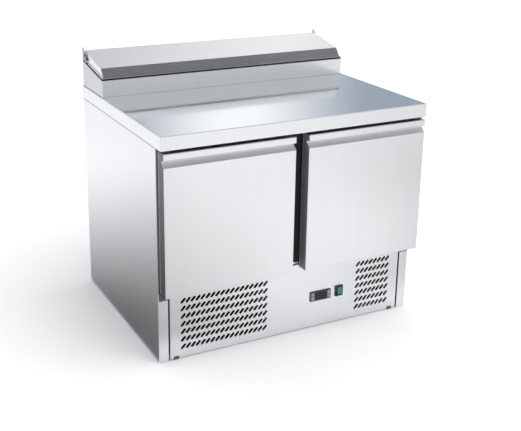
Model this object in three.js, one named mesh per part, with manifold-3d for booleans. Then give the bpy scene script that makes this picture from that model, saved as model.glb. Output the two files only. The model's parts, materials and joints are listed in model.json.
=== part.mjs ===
// Two-door refrigerated sandwich prep table: an insulated cabinet with a steel worktop, a raised
// pan housing with a hinged lid at the back, and a condensing unit behind the louvred lower panel.
// Units are millimetres. X runs to the right, Y to the back, Z up, and the floor is at Z = 0.
import * as THREE from "three";
import { mergeVertices } from "three/addons/utils/BufferGeometryUtils.js";
import Module from "manifold-3d";

const wasm = await Module();
wasm.setup();

// ---------------------------------------------------------------- driving dimensions
const cabinetWidth = 900;
const cabinetDepth = 650;
const cabinetHeight = 678; // underside of the worktop
const sheet = 1.2; // cabinet and door sheet metal
const fit = 0.3; // clearance between pieces that touch
const past = 1; // how far a cutting solid reaches past what it cuts
const farPast = 5; // the same, where the cut crosses folds
const linerSetback = 1; // liners start this far behind the door frame
const aboveAll = 200; // clear of the pan housing, over the worktop
const finCut = 6; // depth of the slots between the condenser's fins

const sideFold = 32; // front fold of each side panel
const backFold = 18;
const panelGap = 5; // shadow gap between a side fold and the lower panel

const worktopSide = 1.5; // overhang at each side
const worktopFront = 45; // overhang over the doors
const worktopHeight = 43;
const worktopSheet = 1.5;
const worktopReturn = 14; // inward fold under the worktop's edge

const doorThickness = 42;
const gasketDepth = 8;
const doorBottom = 232;
const doorTopGap = 7; // under the worktop
const doorSideInset = 4;
const doorCentreGap = 44;
const lipHeight = 21; // full-width handle at the top of each door
const grooveDepth = 21;
const grooveDrop = 20; // height of the slanted face under the lip
const gasketWidth = 20;
const gasketInset = 18; // from the door's edges

const pivotFromEdge = 16; // door pivot, from the door's outer edge
const pivotFromBack = 20; // and from its back
const pivotPin = 8; // diameter
const pivotClearance = 1; // around the pin
const pivotEngagement = 12; // how far the pin reaches into the door
const hingePlate = 3;
const hingeGap = 1.5; // between hinge plate and door
const hingePlateWidth = 30;
const hingeLegHeight = 26;

const wallFoam = 42;
const floorFoam = 34;
const backFoam = 38;
const backFoamThin = 14; // behind the pans
const linerSheet = 1;
const frameRail = 26; // top and bottom rails of the door frame
const frameSideOverlap = 16;
const mullionWidth = 76;
const mullionDepth = 40;

const lowerPanelTop = 234;
const lowerPanelBottom = 3;
const lowerPanelReturn = 14;
const slotPitchX = 16.4;
const slotPitchZ = 25.4;
const slotRows = 7;
const slotRise = 18;
const slotLean = 17.5; // sideways run over the rise
const slotWidth = 6; // measured along X
const slotBottom = 30;
const leftSlots = { fromEdge: 35, columns: 18 };
const rightSlots = { fromEdge: 36, columns: 8 };

const controller = { fromRight: 301, z: 110, width: 78, height: 34, proud: 3.5, flange: 2.5 };
const displayWindow = { width: 44, height: 20, depth: 1.6 };
const button = { width: 8, height: 7, spacing: 13, fromCentre: 30, proud: 1.6, travel: 1 };
const rockerSwitch = { fromRight: 231, z: 112, width: 28, height: 36, proud: 5, depth: 18 };
const rocker = {
  width: 21, height: 26, depth: 10, tilt: 8, pivotDepth: 3, crown: 4, edge: 3, keel: 4,
};

const collarDepth = 197;
const collarFrontHeight = 54;
const collarRise = 30; // from front to back
const collarSideInset = 3; // from the worktop's sides
const collarBackInset = 3;
const collarSideWall = 30;
const collarFrontWall = 9;
const collarBackWall = 6;
const collarRib = { thickness: 3.5, height: 6 }; // closes the gap behind the lid
const gasketStrip = 8;
const gasketStripHeight = 4;

const pan = { width: 162, length: 176, depth: 150, rim: 11, taper: 6, wall: 1 };
const panRimBelowCollar = 12; // below the collar's front edge
const railThickness = 2;
const railLedge = 14;
const barWidth = 8;

const lidEndInset = 6; // from the collar's sides
const lidSheet = 1.2;
const lidFrontSetback = 26; // slant of the front face
const lidFrontHeight = 32;
const lidBackHeight = 34;
const lidBackInset = 8; // from the collar's back
const lidHeelLength = 24; // clearance cut at the back of the lid's ends
const lidHeelHeight = 5;
const lidPivotForward = 14; // pivot, in front of the lid's back
const lidPivotUp = 24; // above the collar's rim there
const lidPin = 6;
const bracketSheet = 2;
const bracketLength = 40;
const bracketTip = 26; // tip above the pivot
const bracketFoot = 26;
const bracketFootDrop = 18;

const shelfWire = 5;
const shelfBars = 9;
const shelfHeight = 190; // above the compartment floor
const shelfBackGap = 18; // in front of the evaporator
const shelfSideGap = 4;

const compressor = { fromRight: 148, y: 120, radius: 72, height: 150, footWidth: 150, footHeight: 14 };
const condenser = { fromLeft: 178, width: 260, height: 168, depth: 44, fromPanel: 30, fins: 12 };
const fan = { radius: 74, hub: 20, blades: 5, depth: 16, pitch: 26, thickness: 2 };
const shroud = { plate: 2, ring: 24, ringWall: 2, tipGap: 4, fanStart: 4 };
const motor = { radius: 26, length: 60 };
const evaporator = { width: 190, height: 250, depth: 74, sheet: 1.5, aboveFloor: 34 };
const evaporatorFan = { radius: 52, hub: 16, fromTop: 78 };
const basePan = { sheet: 2, flange: 22 };
const rearVent = { slots: 5, width: 230, height: 7, pitch: 24, bottom: 60 };
const drainTray = { fromCompressor: 205, y: 180, width: 130, depth: 150, height: 45, wall: 1.5 };
const pipeRadius = 5;

// ---------------------------------------------------------------- derived places
const doorReach = doorThickness + gasketDepth;
const yFront = -(cabinetDepth + doorReach) / 2; // door faces
const yBack = -yFront;
const yCabinet = yFront + doorReach; // front plane of the cabinet
const yDoorBack = yFront + doorThickness;
const xSide = cabinetWidth / 2;
const worktopTop = cabinetHeight + worktopHeight;
const xWorktop = xSide + worktopSide;
const yWorktop = yCabinet - worktopFront;

const doorTop = cabinetHeight - doorTopGap;
const doorOuter = xSide - doorSideInset;
const doorInner = doorCentreGap / 2;

const xLowerPanel = xSide - sideFold - panelGap;
const xController = xLowerPanel - controller.fromRight;
const xRocker = xLowerPanel - rockerSwitch.fromRight;
const xCompressor = xLowerPanel - compressor.fromRight;
const xCondenser = condenser.fromLeft - xLowerPanel;

const foamBottom = lowerPanelTop + fit;
const compartmentFloor = foamBottom + floorFoam;
const foamOuter = xSide - sheet - fit;
const foamInner = foamOuter - wallFoam;
const linerInner = foamInner - fit - linerSheet;
const backPanelFront = yBack - 2 * sheet - fit;
const foamBack = backPanelFront - fit;
const evaporatorBack = foamBack - backFoam - 2 * fit - linerSheet;
const evaporatorFront = evaporatorBack - evaporator.depth;

const collarBack = yBack - collarBackInset;
const collarFront = collarBack - collarDepth;
const xCollar = xWorktop - collarSideInset;
const collarTopFront = worktopTop + collarFrontHeight;
const collarSlope = collarRise / collarDepth;
const rimHeight = (y) => collarTopFront + (y - collarFront) * collarSlope;
const wellFront = collarFront + collarFrontWall;
const wellBack = collarBack - collarBackWall;
const xWell = xCollar - collarSideWall;
const panRimTop = collarTopFront - panRimBelowCollar;
const panPitch = pan.width + 1;
const panCount = Math.floor((2 * (xWell - fit)) / panPitch);

const lidBack = collarBack - lidBackInset;
const lidBase = gasketStripHeight + fit; // above the collar's rim
const xLid = xCollar - lidEndInset;
const lidPivot = {
  y: lidBack - lidPivotForward,
  z: rimHeight(lidBack - lidPivotForward) + lidPivotUp,
};

// ---------------------------------------------------------------- materials
const finish = (color, roughness, metalness) =>
  new THREE.MeshStandardMaterial({ color, roughness, metalness });
const brushedSteel = finish(0xd4d6d8, 0.35, 1);
const worktopSteel = finish(0xb9c0c8, 0.22, 1);
const galvanised = finish(0xa9adb0, 0.5, 1);
const foam = finish(0xe6ddb4, 0.9, 0);
const liner = finish(0xdcdedf, 0.4, 1);
const rubber = finish(0x232326, 0.8, 0);
const blackPlastic = finish(0x1b1c20, 0.4, 0);
const greyPlastic = finish(0x8d8f95, 0.5, 0);
const displayGlass = finish(0x14161f, 0.1, 0);
const greenPlastic = finish(0x0d7a4c, 0.3, 0);
const wireCoat = finish(0xe8e8e6, 0.5, 0);
const blackPaint = finish(0x202124, 0.45, 0);
const aluminium = finish(0xc0c3c6, 0.45, 1);
const copper = finish(0xb5693f, 0.3, 1);

// ---------------------------------------------------------------- geometry helpers
const table = new THREE.Group();

function place(name, geometry, material) {
  const mesh = new THREE.Mesh(geometry, material);
  mesh.name = name;
  table.add(mesh);
  return mesh;
}

function solid(geometry) {
  const bare = geometry.index ? geometry.toNonIndexed() : geometry.clone();
  bare.deleteAttribute("normal");
  bare.deleteAttribute("uv");
  const merged = mergeVertices(bare, 1e-4);
  return new wasm.Manifold(
    new wasm.Mesh({
      numProp: 3,
      vertProperties: new Float32Array(merged.attributes.position.array),
      triVerts: new Uint32Array(merged.index.array),
    }),
  );
}

function geometryOf(manifold) {
  const mesh = manifold.getMesh();
  const geometry = new THREE.BufferGeometry();
  geometry.setAttribute("position", new THREE.BufferAttribute(mesh.vertProperties, 3));
  geometry.setIndex(new THREE.BufferAttribute(mesh.triVerts, 1));
  geometry.computeVertexNormals();
  return geometry;
}

const join = (...shapes) =>
  geometryOf(shapes.map(solid).reduce((whole, next) => whole.add(next)));
const cut = (shape, ...tools) =>
  geometryOf(tools.map(solid).reduce((whole, next) => whole.subtract(next), solid(shape)));

function block([x0, x1], [y0, y1], [z0, z1]) {
  const geometry = new THREE.BoxGeometry(x1 - x0, y1 - y0, z1 - z0);
  return geometry.translate((x0 + x1) / 2, (y0 + y1) / 2, (z0 + z1) / 2);
}

function extrude(points, length) {
  const shape = new THREE.Shape(points.map(([u, v]) => new THREE.Vector2(u, v)));
  return new THREE.ExtrudeGeometry(shape, { depth: length, bevelEnabled: false });
}

// An outline of [y, z] points carried from x0 to x1.
function alongX(points, [x0, x1]) {
  const turn = new THREE.Matrix4().makeBasis(
    new THREE.Vector3(0, 1, 0),
    new THREE.Vector3(0, 0, 1),
    new THREE.Vector3(1, 0, 0),
  );
  return extrude(points, x1 - x0).applyMatrix4(turn).translate(x0, 0, 0);
}

// An outline of [x, z] points carried from y0 to y1.
function alongY(points, [y0, y1]) {
  return extrude(points, y1 - y0)
    .rotateX(Math.PI / 2)
    .translate(0, y1, 0);
}

// An outline of [x, y] points carried from z0 to z1.
const alongZ = (points, [z0, z1]) => extrude(points, z1 - z0).translate(0, 0, z0);

function rod(axis, radius, [start, end], [u, v], sides = 20) {
  const geometry = new THREE.CylinderGeometry(radius, radius, end - start, sides);
  const middle = (start + end) / 2;
  if (axis === "x") return geometry.rotateZ(Math.PI / 2).translate(middle, u, v);
  if (axis === "y") return geometry.translate(u, middle, v);
  return geometry.rotateX(Math.PI / 2).translate(u, v, middle);
}

// A box with its lower end drawn in by inset on every side.
function tub([x0, x1], [y0, y1], [z0, z1], inset) {
  const geometry = block([x0, x1], [y0, y1], [z0, z1]);
  const position = geometry.attributes.position;
  for (let i = 0; i < position.count; i += 1) {
    if (position.getZ(i) > (z0 + z1) / 2) continue;
    position.setX(i, position.getX(i) + (position.getX(i) > (x0 + x1) / 2 ? -inset : inset));
    position.setY(i, position.getY(i) + (position.getY(i) > (y0 + y1) / 2 ? -inset : inset));
  }
  return geometry;
}

const centred = (middle, size) => [middle - size / 2, middle + size / 2];
const mirrored = (points) => points.map(([x, y]) => [-x, y]).reverse();
const sides = [
  { side: "left", sign: -1 },
  { side: "right", sign: 1 },
];
const span = (sign, near, far) => (sign < 0 ? [-far, -near] : [near, far]);

// ---------------------------------------------------------------- outer cabinet
function sidePanel({ side, sign }) {
  const outline = [
    [xSide, yCabinet],
    [xSide, yBack],
    [xSide - backFold, yBack],
    [xSide - backFold, yBack - sheet],
    [xSide - sheet, yBack - sheet],
    [xSide - sheet, yCabinet + sheet],
    [xSide - sideFold, yCabinet + sheet],
    [xSide - sideFold, yCabinet],
  ];
  const points = sign > 0 ? outline : mirrored(outline);
  place(`side_panel_${side}`, alongZ(points, [0, cabinetHeight - fit]), brushedSteel);
}

function backPanel() {
  const half = xSide - sheet - 2 * fit;
  const slots = [];
  for (let row = 0; row < rearVent.slots; row += 1) {
    const z = rearVent.bottom + row * rearVent.pitch;
    slots.push(block(centred(xCompressor, rearVent.width), [backPanelFront - past, yBack],
      [z, z + rearVent.height]));
  }
  const plate = block(
    [-half, half],
    [backPanelFront, backPanelFront + sheet],
    [basePan.sheet + basePan.flange + 2 * fit, cabinetHeight - fit],
  );
  place("back_panel", cut(plate, ...slots), galvanised);
}

function base() {
  const half = xSide - sheet - fit;
  const front = yCabinet + lowerPanelReturn + 2;
  const top = basePan.sheet + basePan.flange;
  const tray = cut(
    block([-half, half], [front, backPanelFront], [0, top]),
    block(
      [-half + basePan.sheet, half - basePan.sheet],
      [front + basePan.sheet, backPanelFront - basePan.sheet],
      [basePan.sheet, top + past],
    ),
  );
  place("base_pan", tray, galvanised);
}

// ---------------------------------------------------------------- louvred lower panel
function slotOutline(x, z) {
  const halfWidth = slotWidth / 2;
  return [
    [x - halfWidth, z],
    [x + halfWidth, z],
    [x + slotLean - slotWidth + halfWidth, z + slotRise],
    [x + slotLean - slotWidth - halfWidth, z + slotRise],
  ];
}

function lowerPanel() {
  const half = xLowerPanel;
  const rightRun = (rightSlots.columns - 1) * slotPitchX + slotLean;
  const groups = [
    { start: leftSlots.fromEdge - half, columns: leftSlots.columns },
    { start: half - rightSlots.fromEdge - rightRun, columns: rightSlots.columns },
  ];
  const slots = [];
  for (const group of groups) {
    for (let row = 0; row < slotRows; row += 1) {
      for (let column = 0; column < group.columns; column += 1) {
        const x = group.start + slotWidth / 2 + column * slotPitchX;
        const outline = slotOutline(x, slotBottom + row * slotPitchZ);
        slots.push(alongY(outline, [yCabinet - past, yCabinet + sheet + past]));
      }
    }
  }
  const plate = block([-half, half], [yCabinet, yCabinet + sheet],
    [lowerPanelBottom, lowerPanelTop]);
  const inner = half - sheet;
  const rim = cut(
    block([-half, half], [yCabinet + sheet / 2, yCabinet + lowerPanelReturn],
      [lowerPanelBottom, lowerPanelTop]),
    block([-inner, inner], [yCabinet - past, yBack],
      [lowerPanelBottom + sheet, lowerPanelTop - sheet]),
  );
  const holes = [
    block(
      [controllerBody.x[0] - fit, controllerBody.x[1] + fit],
      [yCabinet - past, yCabinet + sheet + past],
      [controllerBody.z[0] - fit, controllerBody.z[1] + fit],
    ),
    block(
      [switchBody.x[0] - fit, switchBody.x[1] + fit],
      [yCabinet - past, yCabinet + sheet + past],
      [switchBody.z[0] - fit, switchBody.z[1] + fit],
    ),
  ];
  place("louvred_panel", cut(join(plate, rim), ...holes, ...slots), brushedSteel);
}

// ---------------------------------------------------------------- controller and switch
const controllerBody = {
  x: centred(xController, controller.width - 6),
  z: centred(controller.z, controller.height - 6),
};
const switchBody = {
  x: centred(xRocker, rockerSwitch.width - 4),
  z: centred(rockerSwitch.z, rockerSwitch.height - 6),
};
const buttonPlaces = [-1, 1].flatMap((column) =>
  [1, -1].map((row) => ({
    x: xController + column * button.fromCentre,
    z: controller.z + (row * button.spacing) / 2,
  })),
);

function controllerUnit() {
  const front = yCabinet - fit - controller.proud;
  const flange = block(
    centred(xController, controller.width),
    [front, yCabinet - fit],
    centred(controller.z, controller.height),
  );
  const body = block(controllerBody.x, [yCabinet - controller.flange, yCabinet + 52],
    controllerBody.z);
  const pocket = block(
    centred(xController, displayWindow.width + 2 * fit),
    [front - past, front + displayWindow.depth + fit],
    centred(controller.z, displayWindow.height + 2 * fit),
  );
  const wells = buttonPlaces.map(({ x, z }) =>
    block(
      centred(x, button.width + 2 * fit),
      [front - past, front + button.travel + 2 * fit],
      centred(z, button.height + 2 * fit),
    ),
  );
  place("controller_bezel", cut(join(flange, body), pocket, ...wells), blackPlastic);
  const glass = block(
    centred(xController, displayWindow.width),
    [front + fit / 2, front + displayWindow.depth],
    centred(controller.z, displayWindow.height),
  );
  place("display_window", glass, displayGlass);
  buttonPlaces.forEach(({ x, z }, index) => {
    const cap = block(
      centred(x, button.width),
      [front - button.proud, front + fit],
      centred(z, button.height),
    );
    place(`controller_button_${index + 1}`, cap, greyPlastic);
  });
}

function powerSwitch() {
  const front = yCabinet - fit - rockerSwitch.proud;
  const flange = block(
    centred(xRocker, rockerSwitch.width),
    [front, yCabinet - fit],
    centred(rockerSwitch.z, rockerSwitch.height),
  );
  const body = block(switchBody.x, [yCabinet - 2, yCabinet + rockerSwitch.depth], switchBody.z);
  const well = block(
    centred(xRocker, rocker.width + 1),
    [front - 1, front + rocker.depth],
    centred(rockerSwitch.z, rocker.height + 1.6),
  );
  place("rocker_bezel", cut(join(flange, body), well), blackPlastic);
  // A shallow V seen from the side, turned so that its upper half lies flush in the bezel.
  const half = rocker.height / 2;
  const tilt = THREE.MathUtils.degToRad(rocker.tilt);
  const flare = half * Math.tan(tilt);
  const outline = [
    [-rocker.crown, 0],
    [-rocker.crown - flare, -half],
    [-rocker.crown + rocker.edge, -half],
    [rocker.keel, -half * 0.3],
    [rocker.keel, half * 0.3],
    [-rocker.crown + rocker.edge, half],
    [-rocker.crown - flare, half],
  ];
  const cap = alongX(outline, centred(xRocker, rocker.width))
    .rotateX(-tilt)
    .translate(0, front + rocker.pivotDepth, rockerSwitch.z);
  place("power_rocker", cap, greenPlastic);
}

// ---------------------------------------------------------------- insulated compartment
function insulation() {
  const top = cabinetHeight - 2 * fit;
  const front = yCabinet + sheet + fit;
  const panClear = panRimTop - pan.depth - 12;
  const step = foamBack - backFoamThin;
  const deep = foamBack - backFoam;
  const back = foamBack - fit;
  const walls = sides.map(({ sign }) =>
    block(span(sign, foamInner, foamOuter - fit), [front + fit, back], [foamBottom, top]),
  );
  const floor = block([-foamInner - past, foamInner + past], [front + fit, back],
    [foamBottom, compartmentFloor - fit]);
  const backOutline = [
    [deep, foamBottom],
    [back, foamBottom],
    [back, top],
    [step, top],
    [step, panClear],
    [deep, panClear],
  ];
  const rear = alongX(backOutline, [-foamInner - past, foamInner + past]);
  place("body_insulation", join(...walls, floor, rear), foam);

  for (const { side, sign } of sides) {
    const skin = block(span(sign, linerInner, linerInner + linerSheet),
      [front + linerSetback, deep - 2 * fit - linerSheet], [compartmentFloor + linerSheet + fit, top]);
    place(`liner_side_${side}`, skin, liner);
  }
  const between = linerInner + linerSheet;
  const skinBottom = compartmentFloor + linerSheet + fit;
  const skinOutline = [
    [deep - fit - linerSheet, skinBottom],
    [deep - fit, skinBottom],
    [deep - fit, panClear + fit],
    [step - fit, panClear + fit],
    [step - fit, top],
    [step - fit - linerSheet, top],
    [step - fit - linerSheet, panClear + fit + linerSheet],
    [deep - fit - linerSheet, panClear + fit + linerSheet],
  ];
  place("liner_back", alongX(skinOutline, [-between, between]), liner);
  place("liner_floor",
    block([-between, between], [front + linerSetback, deep - fit],
      [compartmentFloor, compartmentFloor + linerSheet]), liner);
}

function doorFrame() {
  const half = xSide - sideFold - fit;
  const bottom = lowerPanelTop + fit;
  const top = cabinetHeight - 2 * fit;
  const sill = compartmentFloor + linerSheet + fit;
  const openings = sides.map(({ sign }) =>
    block(
      span(sign, mullionWidth / 2, half - frameSideOverlap),
      [yCabinet - past, yCabinet + farPast],
      [sill, top - frameRail],
    ),
  );
  place("door_frame",
    cut(block([-half, half], [yCabinet, yCabinet + sheet], [bottom, top]), ...openings),
    brushedSteel);
  place("centre_mullion",
    block(centred(0, mullionWidth),
      [yCabinet + sheet + 2 * fit, yCabinet + sheet + mullionDepth],
      [sill, top - frameRail]),
    liner);
}

function shelf({ side, sign }) {
  const bottom = compartmentFloor + shelfHeight;
  const [x0, x1] = span(sign, mullionWidth / 2 + shelfSideGap, linerInner - shelfSideGap);
  const front = yCabinet + sheet + mullionDepth + shelfSideGap;
  const back = evaporatorFront - shelfBackGap;
  const wires = [front, back - shelfWire].map((y) =>
    block([x0, x1], [y, y + shelfWire], [bottom, bottom + shelfWire]),
  );
  const pitch = (x1 - x0 - shelfWire) / (shelfBars - 1);
  for (let bar = 0; bar < shelfBars; bar += 1) {
    const x = x0 + bar * pitch;
    wires.push(block([x, x + shelfWire], [front, back],
      [bottom + shelfWire / 2, bottom + 1.5 * shelfWire]));
  }
  place(`shelf_${side}`, join(...wires), wireCoat);
}

// ---------------------------------------------------------------- worktop
function worktop() {
  const under = cabinetHeight;
  const well = block([-xWell, xWell], [wellFront, wellBack], [under - past, worktopTop + past]);
  const hollow = block(
    [-xWorktop + worktopSheet, xWorktop - worktopSheet],
    [yWorktop + worktopSheet, yBack - worktopSheet],
    [under + worktopSheet, worktopTop - worktopSheet],
  );
  const underside = block(
    [-xWorktop + worktopReturn, xWorktop - worktopReturn],
    [yWorktop + worktopReturn, yBack - worktopReturn],
    [under - 1, under + 2 * worktopSheet],
  );
  const skin = cut(
    block([-xWorktop, xWorktop], [yWorktop, yBack], [under, worktopTop]),
    hollow, underside, well,
  );
  place("worktop_skin", skin, worktopSteel);
  const core = block(
    [-xWorktop + worktopReturn + fit, xWorktop - worktopReturn - fit],
    [yWorktop + worktopReturn + fit, collarFront],
    [under + fit, worktopTop - worktopSheet - fit],
  );
  place("worktop_core", core, foam);
}

// ---------------------------------------------------------------- pan housing
function collar() {
  const base = worktopTop + fit;
  const ribFront = collarBack - collarRib.thickness;
  const outline = [
    [collarFront, base],
    [collarBack, base],
    [collarBack, rimHeight(collarBack) + collarRib.height],
    [ribFront, rimHeight(collarBack) + collarRib.height],
    [ribFront, rimHeight(ribFront)],
    [collarFront, collarTopFront],
  ];
  const well = block([-xWell, xWell], [wellFront, wellBack], [base - past, worktopTop + aboveAll]);
  place("pan_housing", cut(alongX(outline, [-xCollar, xCollar]), well), brushedSteel);
}

function panRail() {
  const top = panRimTop - pan.wall - fit;
  const x = xWell - fit;
  const y0 = wellFront + fit;
  const y1 = wellBack - fit;
  const ledges = [
    block([-x, x], [y0, y0 + railLedge], [top - railThickness, top]),
    block([-x, x], [y1 - railLedge, y1], [top - railThickness, top]),
    block([-x, x], [y0, y0 + railThickness], [top - 20, top]),
    block([-x, x], [y1 - railThickness, y1], [top - 20, top]),
  ];
  for (let bar = 0; bar <= panCount; bar += 1) {
    const middle = (bar - panCount / 2) * panPitch;
    ledges.push(block(centred(middle, barWidth), [y0 + 1, y1 - 1], [top - railThickness, top]));
  }
  place("pan_rail", join(...ledges), liner);
}

function foodPan(index) {
  const x = (index - (panCount - 1) / 2) * panPitch;
  const y = (wellFront + wellBack) / 2;
  const bottom = panRimTop - pan.depth;
  const rim = block(centred(x, pan.width), centred(y, pan.length),
    [panRimTop - pan.wall, panRimTop]);
  const outerX = centred(x, pan.width - 2 * pan.rim);
  const outerY = centred(y, pan.length - 2 * pan.rim - 2);
  const shell = tub(outerX, outerY, [bottom, panRimTop], pan.taper);
  const inside = tub(
    [outerX[0] + pan.wall, outerX[1] - pan.wall],
    [outerY[0] + pan.wall, outerY[1] - pan.wall],
    [bottom + pan.wall, panRimTop + past],
    pan.taper,
  );
  const whole = geometryOf(solid(rim).add(solid(shell)).subtract(solid(inside)));
  place(`food_pan_${index + 1}`, whole, liner);
}

// ---------------------------------------------------------------- lid
const lidFloor = (y) => rimHeight(y) + lidBase;
const lidFaceSlant = (lidFrontSetback - 1) / lidFrontHeight;

// The lid's section, drawn in by inset, with its floor raised by lift.
function lidOutline(inset, lift) {
  const front = collarFront + 1 + inset + lift * lidFaceSlant;
  const crest = collarFront + lidFrontSetback + inset;
  const back = lidBack - inset;
  const heel = lidBack - lidHeelLength - inset;
  const crestHeight = lidFloor(collarFront) + lidFrontHeight;
  const topSlope = (lidFloor(lidBack) + lidBackHeight - crestHeight) / (lidBack - crest + inset);
  const top = (y) => crestHeight - inset + (y - crest + inset) * topSlope;
  return [
    [front, lidFloor(front) + lift],
    [heel, lidFloor(heel) + lift],
    [back, lidFloor(back) + lidHeelHeight + lift],
    [back, top(back)],
    [crest, top(crest)],
  ];
}

function lid() {
  const outer = alongX(lidOutline(0, 0), [-xLid, xLid]);
  const hollow = alongX(lidOutline(lidSheet, -2), [-xLid + lidSheet, xLid - lidSheet]);
  const pinHole = rod("x", lidPin / 2 + fit, [-xLid - farPast, xLid + farPast],
    [lidPivot.y, lidPivot.z]);
  place("lid_skin", cut(outer, hollow, pinHole), brushedSteel);
  const step = lidSheet + 2 * fit;
  const coreEnd = xLid - step - lidPin;
  place("lid_insulation",
    alongX(lidOutline(step, linerSheet + fit), [-coreEnd, coreEnd]), foam);
  const plateFront = collarFront + 1 + step + 2;
  const plateBack = lidBack - lidHeelLength - step;
  const plate = [
    [plateFront, lidFloor(plateFront)],
    [plateBack, lidFloor(plateBack)],
    [plateBack, lidFloor(plateBack) + linerSheet],
    [plateFront, lidFloor(plateFront) + linerSheet],
  ];
  place("lid_liner", alongX(plate, [-xLid + step, xLid - step]), liner);
}

function lidGasket() {
  const half = xCollar - 1;
  const front = collarFront + 1;
  const back = lidBack - lidHeelLength;
  const strip = [
    [front, rimHeight(front) + fit / 2],
    [back, rimHeight(back) + fit / 2],
    [back, rimHeight(back) + gasketStripHeight],
    [front, rimHeight(front) + gasketStripHeight],
  ];
  const gasket = cut(
    alongX(strip, [-half, half]),
    block([-half + gasketStrip, half - gasketStrip], [front + gasketStrip, yBack],
      [worktopTop, worktopTop + 200]),
  );
  place("lid_gasket", gasket, rubber);
}

function lidBracket({ side, sign }) {
  const ear = span(sign, xLid + 2 * fit, xLid + 2 * fit + bracketSheet);
  const back = collarBack + fit;
  const foot = back + bracketSheet;
  const ribTop = rimHeight(collarBack) + collarRib.height;
  const outline = [
    [back - bracketLength, rimHeight(back - bracketLength) + gasketStripHeight + fit],
    [collarBack - collarRib.thickness - past, ribTop + fit],
    [foot, ribTop + fit],
    [foot, lidPivot.z + bracketTip],
    [foot - 4, lidPivot.z + bracketTip],
    [back - bracketLength, lidPivot.z - 8],
  ];
  const plate = alongX(outline, ear);
  const heel = block(
    span(sign, xLid + 2 * fit - bracketFoot, xLid + 2 * fit + bracketSheet),
    [back, foot],
    [ribTop - bracketFootDrop, ribTop + 4],
  );
  const pin = rod("x", lidPin / 2, span(sign, xLid - lidPin, xLid + 2 * fit + bracketSheet + 2),
    [lidPivot.y, lidPivot.z]);
  place(`lid_bracket_${side}`, join(plate, heel, pin), brushedSteel);
}

// ---------------------------------------------------------------- doors
function doorOutline(inset, back) {
  const face = yFront + inset;
  const lipBottom = doorTop - lipHeight;
  const grooveBottom = lipBottom - grooveDrop;
  return [
    [face, doorBottom + inset],
    [back, doorBottom + inset],
    [back, doorTop - inset],
    [face, doorTop - inset],
    [face, lipBottom + inset],
    [yFront + grooveDepth + inset, lipBottom + inset],
    [yFront + grooveDepth + inset, lipBottom - inset * 0.5],
    [face, grooveBottom - inset * 0.5],
  ];
}

function door({ side, sign }) {
  const pivotX = sign * (doorOuter - pivotFromEdge);
  const pivotY = yDoorBack - pivotFromBack;
  const bore = rod("z", pivotPin / 2 + pivotClearance,
    [doorBottom - farPast, doorBottom + pivotEngagement + past], [pivotX, pivotY]);
  const topBore = rod("z", pivotPin / 2 + pivotClearance,
    [doorTop - pivotEngagement - past, doorTop + farPast], [pivotX, pivotY]);
  const outer = alongX(doorOutline(0, yDoorBack - linerSheet - fit), span(sign, doorInner, doorOuter));
  const hollow = alongX(doorOutline(sheet, yDoorBack + farPast),
    span(sign, doorInner + sheet, doorOuter - sheet));
  place(`${side}_door_skin`, cut(outer, hollow, bore, topBore), brushedSteel);
  const step = sheet + fit;
  const core = alongX(doorOutline(step, yDoorBack - linerSheet - 2 * fit),
    span(sign, doorInner + step, doorOuter - step));
  place(`${side}_door_insulation`, cut(core, bore, topBore), foam);
  place(`${side}_door_liner`,
    block(span(sign, doorInner, doorOuter), [yDoorBack - linerSheet, yDoorBack],
      [doorBottom, doorTop]), liner);
  const outerEdge = doorOuter - gasketInset;
  const innerEdge = doorInner + gasketInset / 2;
  const ring = cut(
    block(span(sign, innerEdge, outerEdge), [yDoorBack + fit, yCabinet - fit],
      [doorBottom + gasketInset / 2, doorTop - gasketInset / 2]),
    block(span(sign, innerEdge + gasketWidth, outerEdge - gasketWidth),
      [yDoorBack - farPast, yCabinet + farPast],
      [doorBottom + gasketInset / 2 + gasketWidth, doorTop - gasketInset / 2 - gasketWidth]),
  );
  place(`${side}_door_gasket`, ring, rubber);
  const ends = [
    { end: "lower", at: doorBottom, up: 1 },
    { end: "upper", at: doorTop, up: -1 },
  ];
  for (const { end, at, up } of ends) {
    const near = at - up * hingeGap;
    const far = near - up * hingePlate;
    const level = [Math.min(near, far), Math.max(near, far)];
    const width = [sign * doorOuter, sign * (doorOuter - hingePlateWidth)].sort((a, b) => a - b);
    const plate = block(width, [pivotY - pivotPin, yCabinet - fit], level);
    const legReach = up > 0 ? -hingeLegHeight : doorTopGap - hingeGap - hingePlate - fit;
    const leg = block(width, [yCabinet - fit - hingePlate, yCabinet - fit],
      up > 0 ? [near + legReach, near] : [level[0], level[1] + legReach]);
    const pinEnds = up > 0 ? [far + 1, at + pivotEngagement] : [at - pivotEngagement, far - 1];
    const pin = rod("z", pivotPin / 2, pinEnds, [pivotX, pivotY]);
    place(`${side}_${end}_hinge`, join(plate, leg, pin), galvanised);
  }
}

// ---------------------------------------------------------------- refrigeration
function fanWheel({ radius, hub }, [x, y, z]) {
  const shapes = [rod("y", hub, [y, y + fan.depth], [x, z], 16)];
  for (let blade = 0; blade < fan.blades; blade += 1) {
    const vane = new THREE.BoxGeometry(radius - hub + 4, fan.thickness, radius * 0.5)
      .rotateX(THREE.MathUtils.degToRad(fan.pitch))
      .translate((radius + hub) / 2 - 4, 0, 0)
      .rotateY((blade * 2 * Math.PI) / fan.blades)
      .translate(x, y + fan.depth / 2, z);
    shapes.push(vane);
  }
  return join(...shapes);
}

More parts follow.
